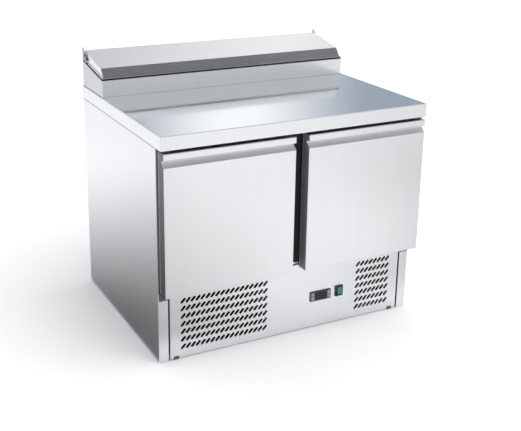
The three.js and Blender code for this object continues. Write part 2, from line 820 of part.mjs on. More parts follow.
function condensingUnit() {
  const floor = basePan.sheet + fit;
  const x = xCompressor;
  const { y } = compressor;
  const half = compressor.footWidth / 2;
  const foot = block([x - half, x + half], [y - half * 0.8, y + half * 0.8],
    [floor, floor + compressor.footHeight]);
  const r = compressor.radius;
  const profile = [new THREE.Vector2(0, 0), new THREE.Vector2(r * 0.9, 0)];
  const shoulder = compressor.height - r * 0.6;
  for (let i = 0; i <= 6; i += 1) {
    const angle = (i / 6) * (Math.PI / 2);
    profile.push(new THREE.Vector2(r * Math.cos(angle), shoulder + r * 0.6 * Math.sin(angle)));
  }
  profile[profile.length - 1].x = 0;
  const dome = new THREE.LatheGeometry(profile, 24)
    .rotateX(Math.PI / 2)
    .translate(x, y, floor + compressor.footHeight - 1);
  place("compressor", join(foot, dome), blackPaint);

  const cx = xCondenser;
  const front = yCabinet + condenser.fromPanel;
  const coilX = centred(cx, condenser.width);
  const coilZ = [floor + 4, floor + 4 + condenser.height];
  const fins = [];
  const pitch = condenser.width / condenser.fins;
  for (let i = 0; i < condenser.fins; i += 1) {
    const at = coilX[0] + i * pitch + pitch * 0.4;
    fins.push(block([at, at + pitch * 0.5], [front - past, front + finCut],
      [coilZ[0] - past, coilZ[1] + past]));
  }
  place("condenser", cut(block(coilX, [front, front + condenser.depth], coilZ), ...fins),
    aluminium);

  const plateY = front + condenser.depth + fit;
  const fanZ = (coilZ[0] + coilZ[1]) / 2;
  const mouth = fan.radius + shroud.tipGap;
  const ringEnd = plateY + shroud.plate + shroud.ring;
  const shell = join(
    block(coilX, [plateY, plateY + shroud.plate], coilZ),
    rod("y", mouth + shroud.ringWall, [plateY + 1, ringEnd], [cx, fanZ], 32),
  );
  const throat = rod("y", mouth, [plateY - past, ringEnd + past], [cx, fanZ], 32);
  const strut = block(centred(cx, 12), [ringEnd + fit, ringEnd + 3],
    [fanZ - mouth - past, fanZ + mouth + past]);
  const body = rod("y", motor.radius, [ringEnd + 2, ringEnd + 2 + motor.length], [cx, fanZ], 20);
  place("fan_shroud", cut(shell, throat), blackPaint);
  place("fan_motor", join(strut, body), blackPaint);
  place("condenser_fan",
    fanWheel(fan, [cx, plateY + shroud.fanStart, fanZ]), aluminium);
}

function evaporatorUnit() {
  const floor = compartmentFloor + linerSheet + evaporator.aboveFloor;
  const front = evaporatorFront;
  const back = evaporatorBack;
  const top = floor + evaporator.height;
  const half = evaporator.width / 2;
  const fanZ = top - evaporatorFan.fromTop;
  const cover = cut(
    block([-half, half], [front, back], [floor, top]),
    block([-half + evaporator.sheet, half - evaporator.sheet],
      [front + evaporator.sheet, back + 1], [floor - 1, top - evaporator.sheet]),
    rod("y", evaporatorFan.radius + 3, [front - 5, front + 10], [0, fanZ], 28),
  );
  place("evaporator_cover", cover, liner);
  place("evaporator_coil",
    block([-half + 8, half - 8], [back - 40, back - 4], [floor + 8, top - 10]), aluminium);
  place("evaporator_fan",
    fanWheel({ radius: evaporatorFan.radius, hub: evaporatorFan.hub }, [0, front + 4, fanZ]),
    blackPlastic);
}

function drain() {
  const x = centred(xCompressor - drainTray.fromCompressor, drainTray.width);
  const y = centred(drainTray.y, drainTray.depth);
  const bottom = basePan.sheet + fit;
  const top = bottom + drainTray.height;
  const wall = drainTray.wall;
  place("drain_tray",
    cut(block(x, y, [bottom, top]),
      block([x[0] + wall, x[1] - wall], [y[0] + wall, y[1] - wall], [bottom + wall, top + 1])),
    blackPlastic);
}

function dischargePipe() {
  const start = basePan.sheet + compressor.height;
  const path = new THREE.CatmullRomCurve3([
    new THREE.Vector3(xCompressor - compressor.radius - 8, compressor.y - 30, 60),
    new THREE.Vector3(xCompressor - compressor.radius - 30, compressor.y - 60, start * 0.6),
    new THREE.Vector3(xCompressor - 220, compressor.y - 150, 80),
    new THREE.Vector3(xCondenser + condenser.width / 2 + 60, yCabinet + 150, 60),
    new THREE.Vector3(xCondenser + condenser.width / 2 + 12, yCabinet + 52, 50),
  ]);
  const circle = new THREE.Shape().absarc(0, 0, pipeRadius, 0, 2 * Math.PI);
  place("discharge_pipe",
    new THREE.ExtrudeGeometry(circle, { steps: 24, curveSegments: 4, extrudePath: path }), copper);
}

sides.forEach(sidePanel);
backPanel();
base();
lowerPanel();
controllerUnit();
powerSwitch();
insulation();
doorFrame();
sides.forEach(shelf);
worktop();
collar();
panRail();
for (let index = 0; index < panCount; index += 1) foodPan(index);
lid();
lidGasket();
sides.forEach(lidBracket);
sides.forEach(door);
condensingUnit();
evaporatorUnit();
drain();
dischargePipe();

export default table;
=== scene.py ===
"""Sandwich prep table: a two-door refrigerated counter with a raised pan housing.

Run as a script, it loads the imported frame, registers the operators below and calls them in order.
Lengths are in metres. X runs to the right, Y to the back, Z up.
"""

import json
import math

import bpy
import numpy as np
from bpy.props import FloatProperty, FloatVectorProperty, IntProperty, PointerProperty
from bpy.types import Operator, Panel, PropertyGroup
from mathutils import Matrix, Vector

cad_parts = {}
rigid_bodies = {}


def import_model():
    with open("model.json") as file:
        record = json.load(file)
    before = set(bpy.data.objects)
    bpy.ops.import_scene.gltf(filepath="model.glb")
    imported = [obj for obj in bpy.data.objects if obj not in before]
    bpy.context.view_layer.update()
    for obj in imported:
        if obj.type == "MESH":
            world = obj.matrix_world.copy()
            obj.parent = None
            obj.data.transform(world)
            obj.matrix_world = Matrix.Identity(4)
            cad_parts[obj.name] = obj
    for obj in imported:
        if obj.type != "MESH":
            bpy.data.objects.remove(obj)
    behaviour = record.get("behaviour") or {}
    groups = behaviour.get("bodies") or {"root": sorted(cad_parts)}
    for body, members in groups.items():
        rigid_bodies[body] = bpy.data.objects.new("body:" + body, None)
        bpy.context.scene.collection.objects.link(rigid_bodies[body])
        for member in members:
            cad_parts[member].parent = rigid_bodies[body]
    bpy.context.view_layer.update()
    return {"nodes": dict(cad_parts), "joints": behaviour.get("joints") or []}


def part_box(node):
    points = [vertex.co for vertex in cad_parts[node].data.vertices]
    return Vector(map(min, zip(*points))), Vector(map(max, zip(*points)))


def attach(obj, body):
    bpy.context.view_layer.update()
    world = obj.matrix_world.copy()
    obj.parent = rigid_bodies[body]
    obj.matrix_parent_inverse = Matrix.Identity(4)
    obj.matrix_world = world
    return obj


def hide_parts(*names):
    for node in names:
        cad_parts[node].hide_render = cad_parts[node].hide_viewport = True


bl_info = {
    "name": "Sandwich prep table",
    "version": (1, 0, 0),
    "blender": (4, 5, 0),
    "location": "3D View > Sidebar > Prep table",
    "description": "Builds a prep table's steelwork, doors, lid, pans, controls and cooling unit",
    "category": "Object",
}

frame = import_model()
MM = 0.001
SHEET = 1.2 * MM  # thickness of the sheet steel
WELL_GAP = 0.3 * MM  # from the pan rail to the sheets round it
SMOOTH_UP_TO = 32  # degrees between faces that still count as one smooth surface
RING_AXES = {"x": [1, 2], "y": [2, 0], "z": [0, 1]}  # which axes a ring's u and v run along


def low(node):
    """Lowest corner of a CAD node as an array."""
    return np.array(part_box(node)[0])


def high(node):
    """Highest corner of a CAD node as an array."""
    return np.array(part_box(node)[1])


def outline_of(node, axis):
    """Centre and half size of a CAD node's box across an axis, in a ring's order."""
    across = RING_AXES[axis]
    return ((low(node) + high(node)) / 2)[across], ((high(node) - low(node)) / 2)[across]


def pivot_of(name, key="name"):
    """A point on a joint's axis, found by the joint's name or, with key child, its body's."""
    return next(joint for joint in frame["joints"] if joint[key] == name)["pos_m"]


# ------------------------------------------------------------------ settings


class SteelSettings(PropertyGroup):
    """Colours and finish of the sheet steel."""

    door_colour: FloatVectorProperty(
        name="Door steel", description="Satin steel of the doors and lower panel",
        subtype="COLOR", size=3, min=0, max=1, default=(0.80, 0.81, 0.82))
    top_colour: FloatVectorProperty(
        name="Worktop steel", description="Polished steel of the worktop",
        subtype="COLOR", size=3, min=0, max=1, default=(0.74, 0.77, 0.80))
    lid_colour: FloatVectorProperty(
        name="Lid steel", description="Brushed steel of the lid and pan housing",
        subtype="COLOR", size=3, min=0, max=1, default=(0.77, 0.78, 0.79))
    satin_roughness: FloatProperty(
        name="Satin roughness", description="Roughness of the satin sheets",
        min=0.05, max=1, default=0.34)
    polished_roughness: FloatProperty(
        name="Polished roughness", description="Roughness of the worktop",
        min=0.02, max=1, default=0.09)


class ShapeSettings(PropertyGroup):
    """Radii and small sizes of the pressed and folded parts."""

    fold_radius: FloatProperty(
        name="Fold radius", description="Outer radius of folded sheet edges",
        unit="LENGTH", min=0.0003, max=0.006, default=0.0018)
    door_radius: FloatProperty(
        name="Door edge radius", description="Radius along the edges of the doors",
        unit="LENGTH", min=0.0005, max=0.008, default=0.0026)
    lip_height: FloatProperty(
        name="Pull lip height", description="Height of the lip along the top of a door",
        unit="LENGTH", min=0.01, max=0.04, default=0.021)
    groove_depth: FloatProperty(
        name="Pull groove depth", description="Depth of the finger groove under the lip",
        unit="LENGTH", min=0.005, max=0.035, default=0.021)
    groove_drop: FloatProperty(
        name="Pull groove drop", description="Height of the slanted face under the lip",
        unit="LENGTH", min=0.01, max=0.05, default=0.020)
    slot_width: FloatProperty(
        name="Louvre width", description="Width of a louvre slot across its length",
        unit="LENGTH", min=0.002, max=0.012, default=0.0086)
    slot_pitch_x: FloatProperty(
        name="Louvre pitch across", description="Distance from slot to slot along a row",
        unit="LENGTH", min=0.008, max=0.04, default=0.0164)
    slot_pitch_z: FloatProperty(
        name="Louvre pitch up", description="Distance from row to row",
        unit="LENGTH", min=0.01, max=0.05, default=0.0254)
    slot_rows: IntProperty(
        name="Louvre rows", description="Rows of slots in each group", min=1, max=12, default=7)
    lid_setback: FloatProperty(
        name="Lid front slant", description="How far the lid's front leans back",
        unit="LENGTH", min=0.0, max=0.06, default=0.026)
    lid_front_height: FloatProperty(
        name="Lid front height", description="Height of the lid's slanted front",
        unit="LENGTH", min=0.01, max=0.06, default=0.032)


def shape():
    """The scene's shape settings."""
    return bpy.context.scene.prep_table_shape


def steel_settings():
    """The scene's steel settings."""
    return bpy.context.scene.prep_table_steel


# ------------------------------------------------------------------ surfaces

AXIS_ORDER = {"x": (2, 0, 1), "y": (1, 2, 0), "z": (0, 1, 2)}


def loft(rings, along, axis, caps=True, loop=False):
    """Points and faces of a surface through rings of (u, v) points at the given stations.

    The ring lies across the axis and (u, v, axis) is right-handed: u, v are y, z along x;
    z, x along y; and x, y along z. A ring that runs anticlockwise gives faces that point out.
    """
    rings = np.asarray(rings, float)
    stations, count = rings.shape[:2]
    along = np.broadcast_to(np.asarray(along, float).reshape(stations, -1), (stations, count))
    local = np.dstack([rings, along]).reshape(-1, 3)
    points = local[:, AXIS_ORDER[axis]]
    row = np.arange(stations if loop else stations - 1)
    column = np.arange(count)
    r, c = np.meshgrid(row, column, indexing="ij")
    up, right = (r + 1) % stations, (c + 1) % count
    quads = np.stack(
        [r * count + c, r * count + right, up * count + right, up * count + c], axis=-1)
    faces = quads.reshape(-1, 4).tolist()
    if caps and not loop:
        faces.append(column[::-1].tolist())
        faces.append((column + (stations - 1) * count).tolist())
    return points, faces


def rounded_rectangle(half_u, half_v, radius, steps=5, centre=(0.0, 0.0)):
    """Anticlockwise outline: a quarter circle of the radius at each corner of the rectangle."""
    turn = np.linspace(0, math.pi / 2, steps + 1)
    angle = (np.arange(4)[:, None] * math.pi / 2 + turn[None, :]).ravel()
    side_u = np.repeat([1, -1, -1, 1], steps + 1)
    side_v = np.repeat([1, 1, -1, -1], steps + 1)
    u = side_u * (half_u - radius) + radius * np.cos(angle)
    v = side_v * (half_v - radius) + radius * np.sin(angle)
    return np.column_stack([u, v]) + np.asarray(centre)


def nested(centre, half, insets, radii, steps=4):
    """Rounded rectangles round one centre, each drawn in all round by its own inset."""
    radii = np.broadcast_to(radii, len(insets))
    return np.stack([rounded_rectangle(half[0] - inset, half[1] - inset, radius, steps, centre)
                     for inset, radius in zip(insets, radii)])


def quarter_round(radius, count=6):
    """Inset radius * (1 - sin a) and reach radius * (1 - cos a), a running a quarter turn."""
    turn = np.linspace(0, math.pi / 2, count)
    return radius * (1 - np.sin(turn)), radius * (1 - np.cos(turn))


def fillet(corners, radii, steps=5):
    """Outline through the corners, each rounded by an arc tangent to both of its sides."""
    corners = np.asarray(corners, float)
    before, after = np.roll(corners, 1, axis=0), np.roll(corners, -1, axis=0)
    outline = []
    for point, last, following, radius in zip(corners, before, after, radii):
        if radius <= 0:
            outline.append(point[None, :])
            continue
        back = (last - point) / np.linalg.norm(last - point)
        on = (following - point) / np.linalg.norm(following - point)
        half = 0.5 * math.acos(float(np.clip(back @ on, -1, 1)))
        centre = point + (back + on) / np.linalg.norm(back + on) * radius / math.sin(half)
        reach = radius / math.tan(half)
        start, end = point + back * reach - centre, point + on * reach - centre
        first = math.atan2(start[1], start[0])
        sweep = (math.atan2(end[1], end[0]) - first + math.pi) % (2 * math.pi) - math.pi
        angle = first + sweep * np.linspace(0, 1, steps + 1)
        outline.append(centre + radius * np.column_stack([np.cos(angle), np.sin(angle)]))
    return np.concatenate(outline)


def drawn_in(corners, radii, inset):
    """The corners and radii of the outline that runs inset inside the given one.

    A corner moves by inset * (n1 + n2) / (1 + n1.n2), n1 and n2 being the inward normals of its
    two sides. An outward corner's radius shrinks by the inset, an inward one's grows by it.
    """
    corners, radii = np.asarray(corners, float), np.asarray(radii, float)
    leaving = np.roll(corners, -1, axis=0) - corners
    leaving /= np.linalg.norm(leaving, axis=1)[:, None]
    coming = np.roll(leaving, 1, axis=0)
    first = np.column_stack([-coming[:, 1], coming[:, 0]])
    second = np.column_stack([-leaving[:, 1], leaving[:, 0]])
    share = 1 + (first * second).sum(axis=1)
    moved = corners + inset * (first + second) / share[:, None]
    outward = coming[:, 0] * leaving[:, 1] - coming[:, 1] * leaving[:, 0] > 0
    smallest = np.minimum(radii, 0.02 * MM)
    return moved, np.where(outward, np.maximum(radii - inset, smallest),
                           np.where(radii > 0, radii + inset, 0))


def bar(corners, radii, start, end, edge, axis, steps=4, corner_steps=5):
    """A closed bar of the rounded outline from start to end, its end edges rounded.

    Near an end the outline is drawn in by edge * (1 - sin a) while the station moves by
    edge * (1 - cos a), with a running through a quarter turn.
    """
    inset, reach = quarter_round(edge, steps + 1)
    insets = np.concatenate([inset, inset[::-1]])
    stations = np.concatenate([start + reach, end - reach[::-1]])
    rings = np.stack([fillet(*drawn_in(corners, radii, value), corner_steps)
                      for value in insets])
    return loft(rings, stations, axis)


def rounded_block(corner_low, corner_high, radius, steps=4):
    """A box with round edges: a sphere of the radius pulled apart to the eight corners."""
    corner_low, corner_high = np.asarray(corner_low, float), np.asarray(corner_high, float)
    radius = min(radius, 0.499 * float((corner_high - corner_low).min()))
    outline = rounded_rectangle(1, 1, 1, steps)  # a whole circle, its quarters' ends doubled
    middle, half = (corner_low + corner_high) / 2, (corner_high - corner_low) / 2
    sign = np.repeat([[1, 1], [-1, 1], [-1, -1], [1, -1]], steps + 1, axis=0)
    turn = np.linspace(0, math.pi / 2, steps + 1)
    lift = np.concatenate([-np.cos(turn), np.sin(turn)])
    spread = np.concatenate([np.sin(turn), np.cos(turn)])
    level = np.repeat([-1, 1], steps + 1)
    core = half - radius
    rings = middle[:2] + sign * core[:2] + radius * spread[:, None, None] * outline[None, :, :]
    heights = middle[2] + level * core[2] + radius * lift
    return loft(rings, heights, "z")


def turned(profile, axis, centre, segments=32):
    """A lathe-turned solid: profile rows are (radius, place along the axis), ends closed."""
    profile = np.asarray(profile, float)
    angle = np.linspace(0, 2 * math.pi, segments, endpoint=False)
    circle = np.column_stack([np.cos(angle), np.sin(angle)])
    rings = np.maximum(profile[:, 0], 1e-5)[:, None, None] * circle + np.asarray(centre)
    return loft(rings, profile[:, 1], axis)


def tube(path, radius, sides=10):
    """A round tube: circles across the path, turned with it from point to point."""
    path = np.asarray(path, float)
    tangent = np.gradient(path, axis=0)
    tangent /= np.linalg.norm(tangent, axis=1)[:, None]
    reference = np.array([0.0, 0.0, 1.0]) + 0.01
    across = np.cross(tangent, reference)
    across /= np.linalg.norm(across, axis=1)[:, None]
    other = np.cross(tangent, across)
    angle = np.linspace(0, 2 * math.pi, sides, endpoint=False)
    rings = (path[:, None, :] + radius * np.cos(angle)[None, :, None] * across[:, None, :]
             + radius * np.sin(angle)[None, :, None] * other[:, None, :])
    return loft(rings[:, :, :2], rings[:, :, 2], "z")


def together(*surfaces):
    """Several surfaces as one, each keeping its own points and faces."""
    points, faces, start = [], [], 0
    for part_points, part_faces in surfaces:
        points.append(part_points)
        faces.extend([[index + start for index in face] for face in part_faces])
        start += len(part_points)
    return np.concatenate(points), faces


def copies(surface, offsets):
    """The surface repeated at each offset."""
    points, faces = surface
    return together(*[(points + np.asarray(offset), faces) for offset in offsets])


def as_object(name, surface, sharp_degrees=SMOOTH_UP_TO):
    """A mesh object whose faces are smooth up to the given edge angle."""
    points, faces = surface
    mesh = bpy.data.meshes.new(name)
    mesh.from_pydata(np.asarray(points).tolist(), [], faces)
    mesh.validate()
    mesh.polygons.foreach_set("use_smooth", np.ones(len(mesh.polygons), bool))
    mesh.set_sharp_from_angle(angle=math.radians(sharp_degrees))
    piece = bpy.data.objects.new(name, mesh)
    bpy.context.scene.collection.objects.link(piece)
    return piece


def piece(name, surface, body, material, replaces=(), slot=None, sharp_degrees=SMOOTH_UP_TO):
    """Makes the surface a finished piece that rides on a body and stands for CAD nodes."""
    made = as_object(name, surface, sharp_degrees)
    made.data.materials.append(material)
    weights = made.modifiers.new("Even normals", "WEIGHTED_NORMAL")
    weights.keep_sharp = True
    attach(made, body)
    if replaces:
        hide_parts(*replaces)
    return made


def second_finish(made, material, chosen):
    """Gives the chosen faces, a mask over the face normals and centres, another finish."""
    mesh = made.data
    index = np.empty(len(mesh.polygons), np.int32)
    mesh.polygons.foreach_get("material_index", index)
    normals, centres = np.empty(len(mesh.polygons) * 3), np.empty(len(mesh.polygons) * 3)
    mesh.polygons.foreach_get("normal", normals)
    mesh.polygons.foreach_get("center", centres)
    mask = chosen(normals.reshape(-1, 3), centres.reshape(-1, 3))
    mesh.materials.append(material)
    mesh.polygons.foreach_set("material_index",
                              np.where(mask, len(mesh.materials) - 1, index).astype(np.int32))


def paint(material, *nodes):
    """Gives carried-over CAD nodes their finish."""
    for name in nodes:
        node = frame["nodes"][name]
        if not node.material_slots:
            node.data.materials.append(material)
        for material_slot in node.material_slots:
            material_slot.link = "OBJECT"
            material_slot.material = material


# ------------------------------------------------------------------ materials


class NodeTree:
    """A short hand for building a node tree."""

    def __init__(self, tree):
        self.tree = tree

    def add(self, kind, **inputs):
        """A new node with its inputs linked or set."""
        node = self.tree.nodes.new(kind)
        for key, value in inputs.items():
            self.put(node, key, value)
        return node

    def put(self, node, key, value):
        """Links a socket to an input, or sets the input's own value."""
        if isinstance(value, bpy.types.NodeSocket):
            self.tree.links.new(value, node.inputs[key])
        else:
            node.inputs[key].default_value = value

    def ranged(self, value, low_out, high_out, low_in=0.3, high_in=0.7):
        """The value mapped from one range to another."""
        node = self.add("ShaderNodeMapRange")
        for key, setting in (("Value", value), ("From Min", low_in), ("From Max", high_in),
                             ("To Min", low_out), ("To Max", high_out)):
            self.put(node, key, setting)
        return node.outputs[0]

    def blend(self, factor, first, second):
        """A colour between two colours."""
        node = self.add("ShaderNodeMix")
        node.data_type = "RGBA"
        for index, value in ((0, factor), (6, first), (7, second)):
            self.put(node, index, value)
        return node.outputs[2]


class Nodes(NodeTree):
    """A new material's node tree, its shader and its Object coordinates."""

    def __init__(self, name):
        self.material = bpy.data.materials.new(name)
        self.material.use_nodes = True
        super().__init__(self.material.node_tree)
        self.shader = self.tree.nodes["Principled BSDF"]
        self.place = self.add("ShaderNodeTexCoord").outputs["Object"]

    def stretched(self, scale):
        """Object coordinates scaled by a different amount along each axis."""
        return self.add("ShaderNodeMapping", Vector=self.place, Scale=scale).outputs[0]

    def noise(self, vector, scale, detail=3.0, roughness=0.5):
        """A soft noise from 0 to 1, the finer the higher its scale."""
        return self.add("ShaderNodeTexNoise", Vector=vector, Scale=scale, Detail=detail,
                        Roughness=roughness).outputs[0]

    def bump(self, height, distance):
        """Relief on the shader, the distance deep in metres where the height is 1."""
        node = self.add("ShaderNodeBump", Height=height, Distance=distance, Strength=1.0)
        self.put(self.shader, "Normal", node.outputs[0])

    def set(self, **inputs):
        """Sets or links the shader's own sockets by short names."""
        names = {"base": "Base Color", "metallic": "Metallic", "roughness": "Roughness",
                 "coat": "Coat Weight", "coat_roughness": "Coat Roughness", "ior": "IOR",
                 "emission": "Emission Color", "emission_strength": "Emission Strength",
                 "specular": "Specular IOR Level"}
        for key, value in inputs.items():
            self.put(self.shader, names[key], value)
        return self


BLACK = (0, 0, 0, 1)


def rgba(colour, factor=1.0):
    """A colour with its alpha, made lighter or darker by the factor."""
    return (colour[0] * factor, colour[1] * factor, colour[2] * factor, 1.0)


GRAIN_ALONG = {"x": (4, 900, 900), "y": (900, 4, 900), "z": (900, 900, 4)}
STREAK_ALONG = {"x": (1.2, 90, 90), "y": (90, 1.2, 90), "z": (90, 90, 1.2)}


def brushed_steel(name, colour, roughness, grain="x", grain_depth=0.000004, streaks=0.02):
    """Steel with fine brush lines along one axis, long faint streaks and soft handling marks.

    Noise squeezed across the grain gives the lines; a wider, flatter noise gives the streaks.
    """
    nodes = Nodes(name)
    lines = nodes.noise(nodes.stretched(GRAIN_ALONG[grain]), 1.0, 2.0, 0.6)
    streak = nodes.noise(nodes.stretched(STREAK_ALONG[grain]), 1.0, 3.0, 0.55)
    cloud = nodes.noise(nodes.place, 3.5, 4.0, 0.55)
    tint = nodes.blend(nodes.ranged(streak, 0, 1), rgba(colour, 1 - streaks), rgba(colour, 1.0))
    rough = nodes.add("ShaderNodeMath", Value=nodes.ranged(cloud, -0.02, 0.025))
    rough.operation = "ADD"
    nodes.put(rough, 1, nodes.ranged(lines, roughness - 0.03, roughness + 0.03))
    nodes.set(base=tint, metallic=1.0, roughness=rough.outputs[0])
    nodes.bump(lines, grain_depth)
    return nodes.material


def galvanised_steel(name):
    """Zinc-coated sheet: large soft spangles of slightly different grey and gloss."""
    nodes = Nodes(name)
    cells = nodes.add("ShaderNodeTexVoronoi", Vector=nodes.place, Scale=70.0)
    grey = nodes.add("ShaderNodeSeparateColor", Color=cells.outputs["Color"]).outputs[0]
    nodes.set(base=nodes.blend(grey, (0.50, 0.52, 0.54, 1), (0.66, 0.68, 0.70, 1)),
              metallic=1.0, roughness=nodes.ranged(grey, 0.36, 0.52, 0, 1))
    nodes.bump(nodes.noise(nodes.place, 220.0), 0.00002)
    return nodes.material


def moulded_plastic(name, colour, roughness=0.42, texture=0.00001):
    """Moulded plastic with a fine spark-eroded texture and slight uneven gloss."""
    nodes = Nodes(name)
    pits = nodes.noise(nodes.place, 420.0, 2.0)
    cloud = nodes.noise(nodes.place, 25.0, 3.0)
    nodes.set(base=nodes.blend(cloud, rgba(colour, 0.88), rgba(colour, 1.12)),
              roughness=nodes.ranged(cloud, roughness - 0.05, roughness + 0.07))
    nodes.bump(pits, texture)
    return nodes.material


def seal_rubber(name, colour=(0.018, 0.018, 0.02)):
    """Soft extruded seal: matt, dusty in patches, with faint lines along its length."""
    nodes = Nodes(name)
    dust = nodes.noise(nodes.place, 40.0, 4.0)
    nodes.set(base=nodes.blend(dust, rgba(colour), rgba(colour, 2.2)),
              roughness=nodes.ranged(dust, 0.55, 0.75), specular=0.3)
    nodes.bump(nodes.noise(nodes.place, 900.0), 0.00002)
    return nodes.material


def insulation_foam(name):
    """Rigid foam: pale yellow with closed cells."""
    nodes = Nodes(name)
    cells = nodes.add("ShaderNodeTexVoronoi", Vector=nodes.place, Scale=500.0).outputs["Distance"]
    nodes.set(base=nodes.blend(nodes.noise(nodes.place, 12.0), (0.78, 0.70, 0.45, 1),
                               (0.88, 0.82, 0.60, 1)), roughness=0.9)
    nodes.bump(cells, 0.0004)
    return nodes.material


def cast_aluminium(name, colour=(0.70, 0.71, 0.73), roughness=0.42):
    """Plain aluminium with a light grain and soft blotches."""
    nodes = Nodes(name)
    blotch = nodes.noise(nodes.place, 18.0, 4.0)
    nodes.set(base=nodes.blend(blotch, rgba(colour, 0.86), rgba(colour, 1.04)), metallic=1.0,
              roughness=nodes.ranged(blotch, roughness - 0.07, roughness + 0.1))
    nodes.bump(nodes.noise(nodes.place, 500.0), 0.00002)
    return nodes.material


def finned_coil(name, edge):
    """Fins side by side: lighter fin edges and painted shade in the gaps between them, in waves
    across X.
    """
    nodes = Nodes(name)
    waves = nodes.add("ShaderNodeTexWave", Vector=nodes.place, Scale=110.0, Distortion=0.15)
    waves.bands_direction = "X"
    height = waves.outputs["Fac"]
    # The dark end of this blend is painted shade between the fins; the bump is their real relief.
    nodes.set(base=nodes.blend(height, rgba(edge, 0.14), rgba(edge)),
              metallic=0.9, roughness=0.4)
    nodes.bump(height, 0.0008)
    return nodes.material


def copper_tube(name):
    """Drawn copper with darker, duller patches."""
    nodes = Nodes(name)
    patch = nodes.noise(nodes.place, 30.0, 5.0)
    nodes.set(base=nodes.blend(nodes.ranged(patch, 0, 1), (0.78, 0.42, 0.26, 1),
                               (0.40, 0.19, 0.11, 1)),
              metallic=1.0, roughness=nodes.ranged(patch, 0.22, 0.5))
    return nodes.material


def painted_metal(name, colour):
    """Baked black paint with a soft orange-peel surface."""
    nodes = Nodes(name)
    peel = nodes.noise(nodes.place, 260.0, 2.0)
    nodes.set(base=nodes.blend(nodes.noise(nodes.place, 10.0), rgba(colour, 0.8),
                               rgba(colour, 1.3)),
              roughness=nodes.ranged(peel, 0.3, 0.42), coat=0.25)
    nodes.bump(peel, 0.00006)
    return nodes.material


def smoked_window(name):
    """Smoked display window: nearly black and glossy, with a faint blue haze."""
    nodes = Nodes(name)
    haze = nodes.noise(nodes.place, 60.0, 3.0)
    nodes.set(base=nodes.blend(haze, (0.010, 0.012, 0.020, 1), (0.020, 0.024, 0.040, 1)),
              roughness=nodes.ranged(haze, 0.1, 0.2), specular=0.25)
    return nodes.material


def green_rocker_plastic(name):
    """Green moulding, mottled and glossy, with a faint glow of its own."""
    nodes = Nodes(name)
    glow = nodes.noise(nodes.place, 90.0, 2.0)
    nodes.set(base=nodes.blend(glow, (0.001, 0.11, 0.065, 1), (0.005, 0.25, 0.15, 1)),
              roughness=0.22, coat=0.4, emission=(0.0, 0.30, 0.16, 1), emission_strength=0.06)
    nodes.bump(nodes.noise(nodes.place, 700.0), 0.00001)
    return nodes.material


def coated_wire(name):
    """White plastic dip coat on wire: slightly lumpy and glossy."""
    nodes = Nodes(name)
    lumps = nodes.noise(nodes.place, 120.0, 3.0)
    nodes.set(base=nodes.blend(lumps, (0.72, 0.72, 0.69, 1), (0.82, 0.82, 0.80, 1)),
              roughness=nodes.ranged(lumps, 0.28, 0.42), coat=0.2)
    nodes.bump(lumps, 0.0001)
    return nodes.material


def studio_floor_material(name):
    """Pale matt paper with a faint mottle."""
    nodes = Nodes(name)
    mottle = nodes.noise(nodes.place, 2.0, 4.0)
    nodes.set(base=nodes.blend(mottle, (0.86, 0.86, 0.86, 1), (0.90, 0.90, 0.90, 1)),
              roughness=0.7, specular=0.2)
    return nodes.material


def finishes():
    """Each finish's maker, and what the maker takes besides the name."""
    steel = steel_settings()
    door, top, lid = steel.door_colour, steel.top_colour, steel.lid_colour
    satin, polished = steel.satin_roughness, steel.polished_roughness
    fine = satin - 0.08
    return {
        "door_steel": (brushed_steel, door, satin, "z"),
        "panel_steel": (brushed_steel, door, satin, "x"),
        "side_steel": (brushed_steel, door, satin, "z"),
        "top_steel": (brushed_steel, top, polished, "x"),
        "lid_steel": (brushed_steel, lid, fine, "x", 0.000006, 0.05),
        "housing_steel": (brushed_steel, lid, fine, "x"),
        # Darker grey for the housing's end faces: painted shade on one sheet.
        "housing_end_steel": (brushed_steel, (0.58, 0.59, 0.62), satin, "z"),
        # Lighter, less blue steel for the worktop's folded edges: painted light on one sheet.
        "fold_steel": (brushed_steel, (0.82, 0.82, 0.83), satin, "x"),
        # Lighter, rougher steel for the pull grooves; the lighter grey is painted light that lifts
        # the groove's shade.
        "groove_steel": (brushed_steel, (0.84, 0.85, 0.86), 0.6, "x"),
        "ear_steel": (brushed_steel, (0.34, 0.35, 0.37), satin, "z"),
        "liner_steel": (brushed_steel, (0.78, 0.79, 0.80), 0.38, "z"),
        "pan_steel": (brushed_steel, (0.80, 0.80, 0.80), 0.24, "x"),
        "zinc": (galvanised_steel,),
        "seal": (seal_rubber,),
        "lid_seal": (seal_rubber, (0.006, 0.006, 0.007)),
        "foam": (insulation_foam,),
        "black_plastic": (moulded_plastic, (0.022, 0.022, 0.026)),
        "key_plastic": (moulded_plastic, (0.34, 0.34, 0.37)),
        "key_field": (moulded_plastic, (0.16, 0.16, 0.18)),
        # Dark trim greys: a dark edge colour carrying painted shade of the gaps round the doors;
        # the lighter one goes on the ends that face the middle.
        "edge_trim": (moulded_plastic, (0.050, 0.042, 0.044), 0.3),
        "middle_trim": (moulded_plastic, (0.22, 0.20, 0.205), 0.3),
        "window": (smoked_window,),
        "green": (green_rocker_plastic,),
        "wire": (coated_wire,),
        "black_paint": (painted_metal, (0.02, 0.02, 0.022)),
        "aluminium": (cast_aluminium,),
        # Dark grey for the clips and hinge plates: partly their own dark zinc, partly painted shade
        # under the doors and by the floor.
        "dark_zinc": (cast_aluminium, (0.16, 0.165, 0.17), 0.45),
        "screw": (cast_aluminium, (0.60, 0.61, 0.63), 0.32),
        "fins": (finned_coil, (0.72, 0.73, 0.75)),
        # Black fins: the condenser's black paint, which also paints the shade seen through the
        # louvre slots.
        "black_fins": (finned_coil, (0.035, 0.035, 0.04)),
        "copper": (copper_tube,),
    }


LOOKS = {}


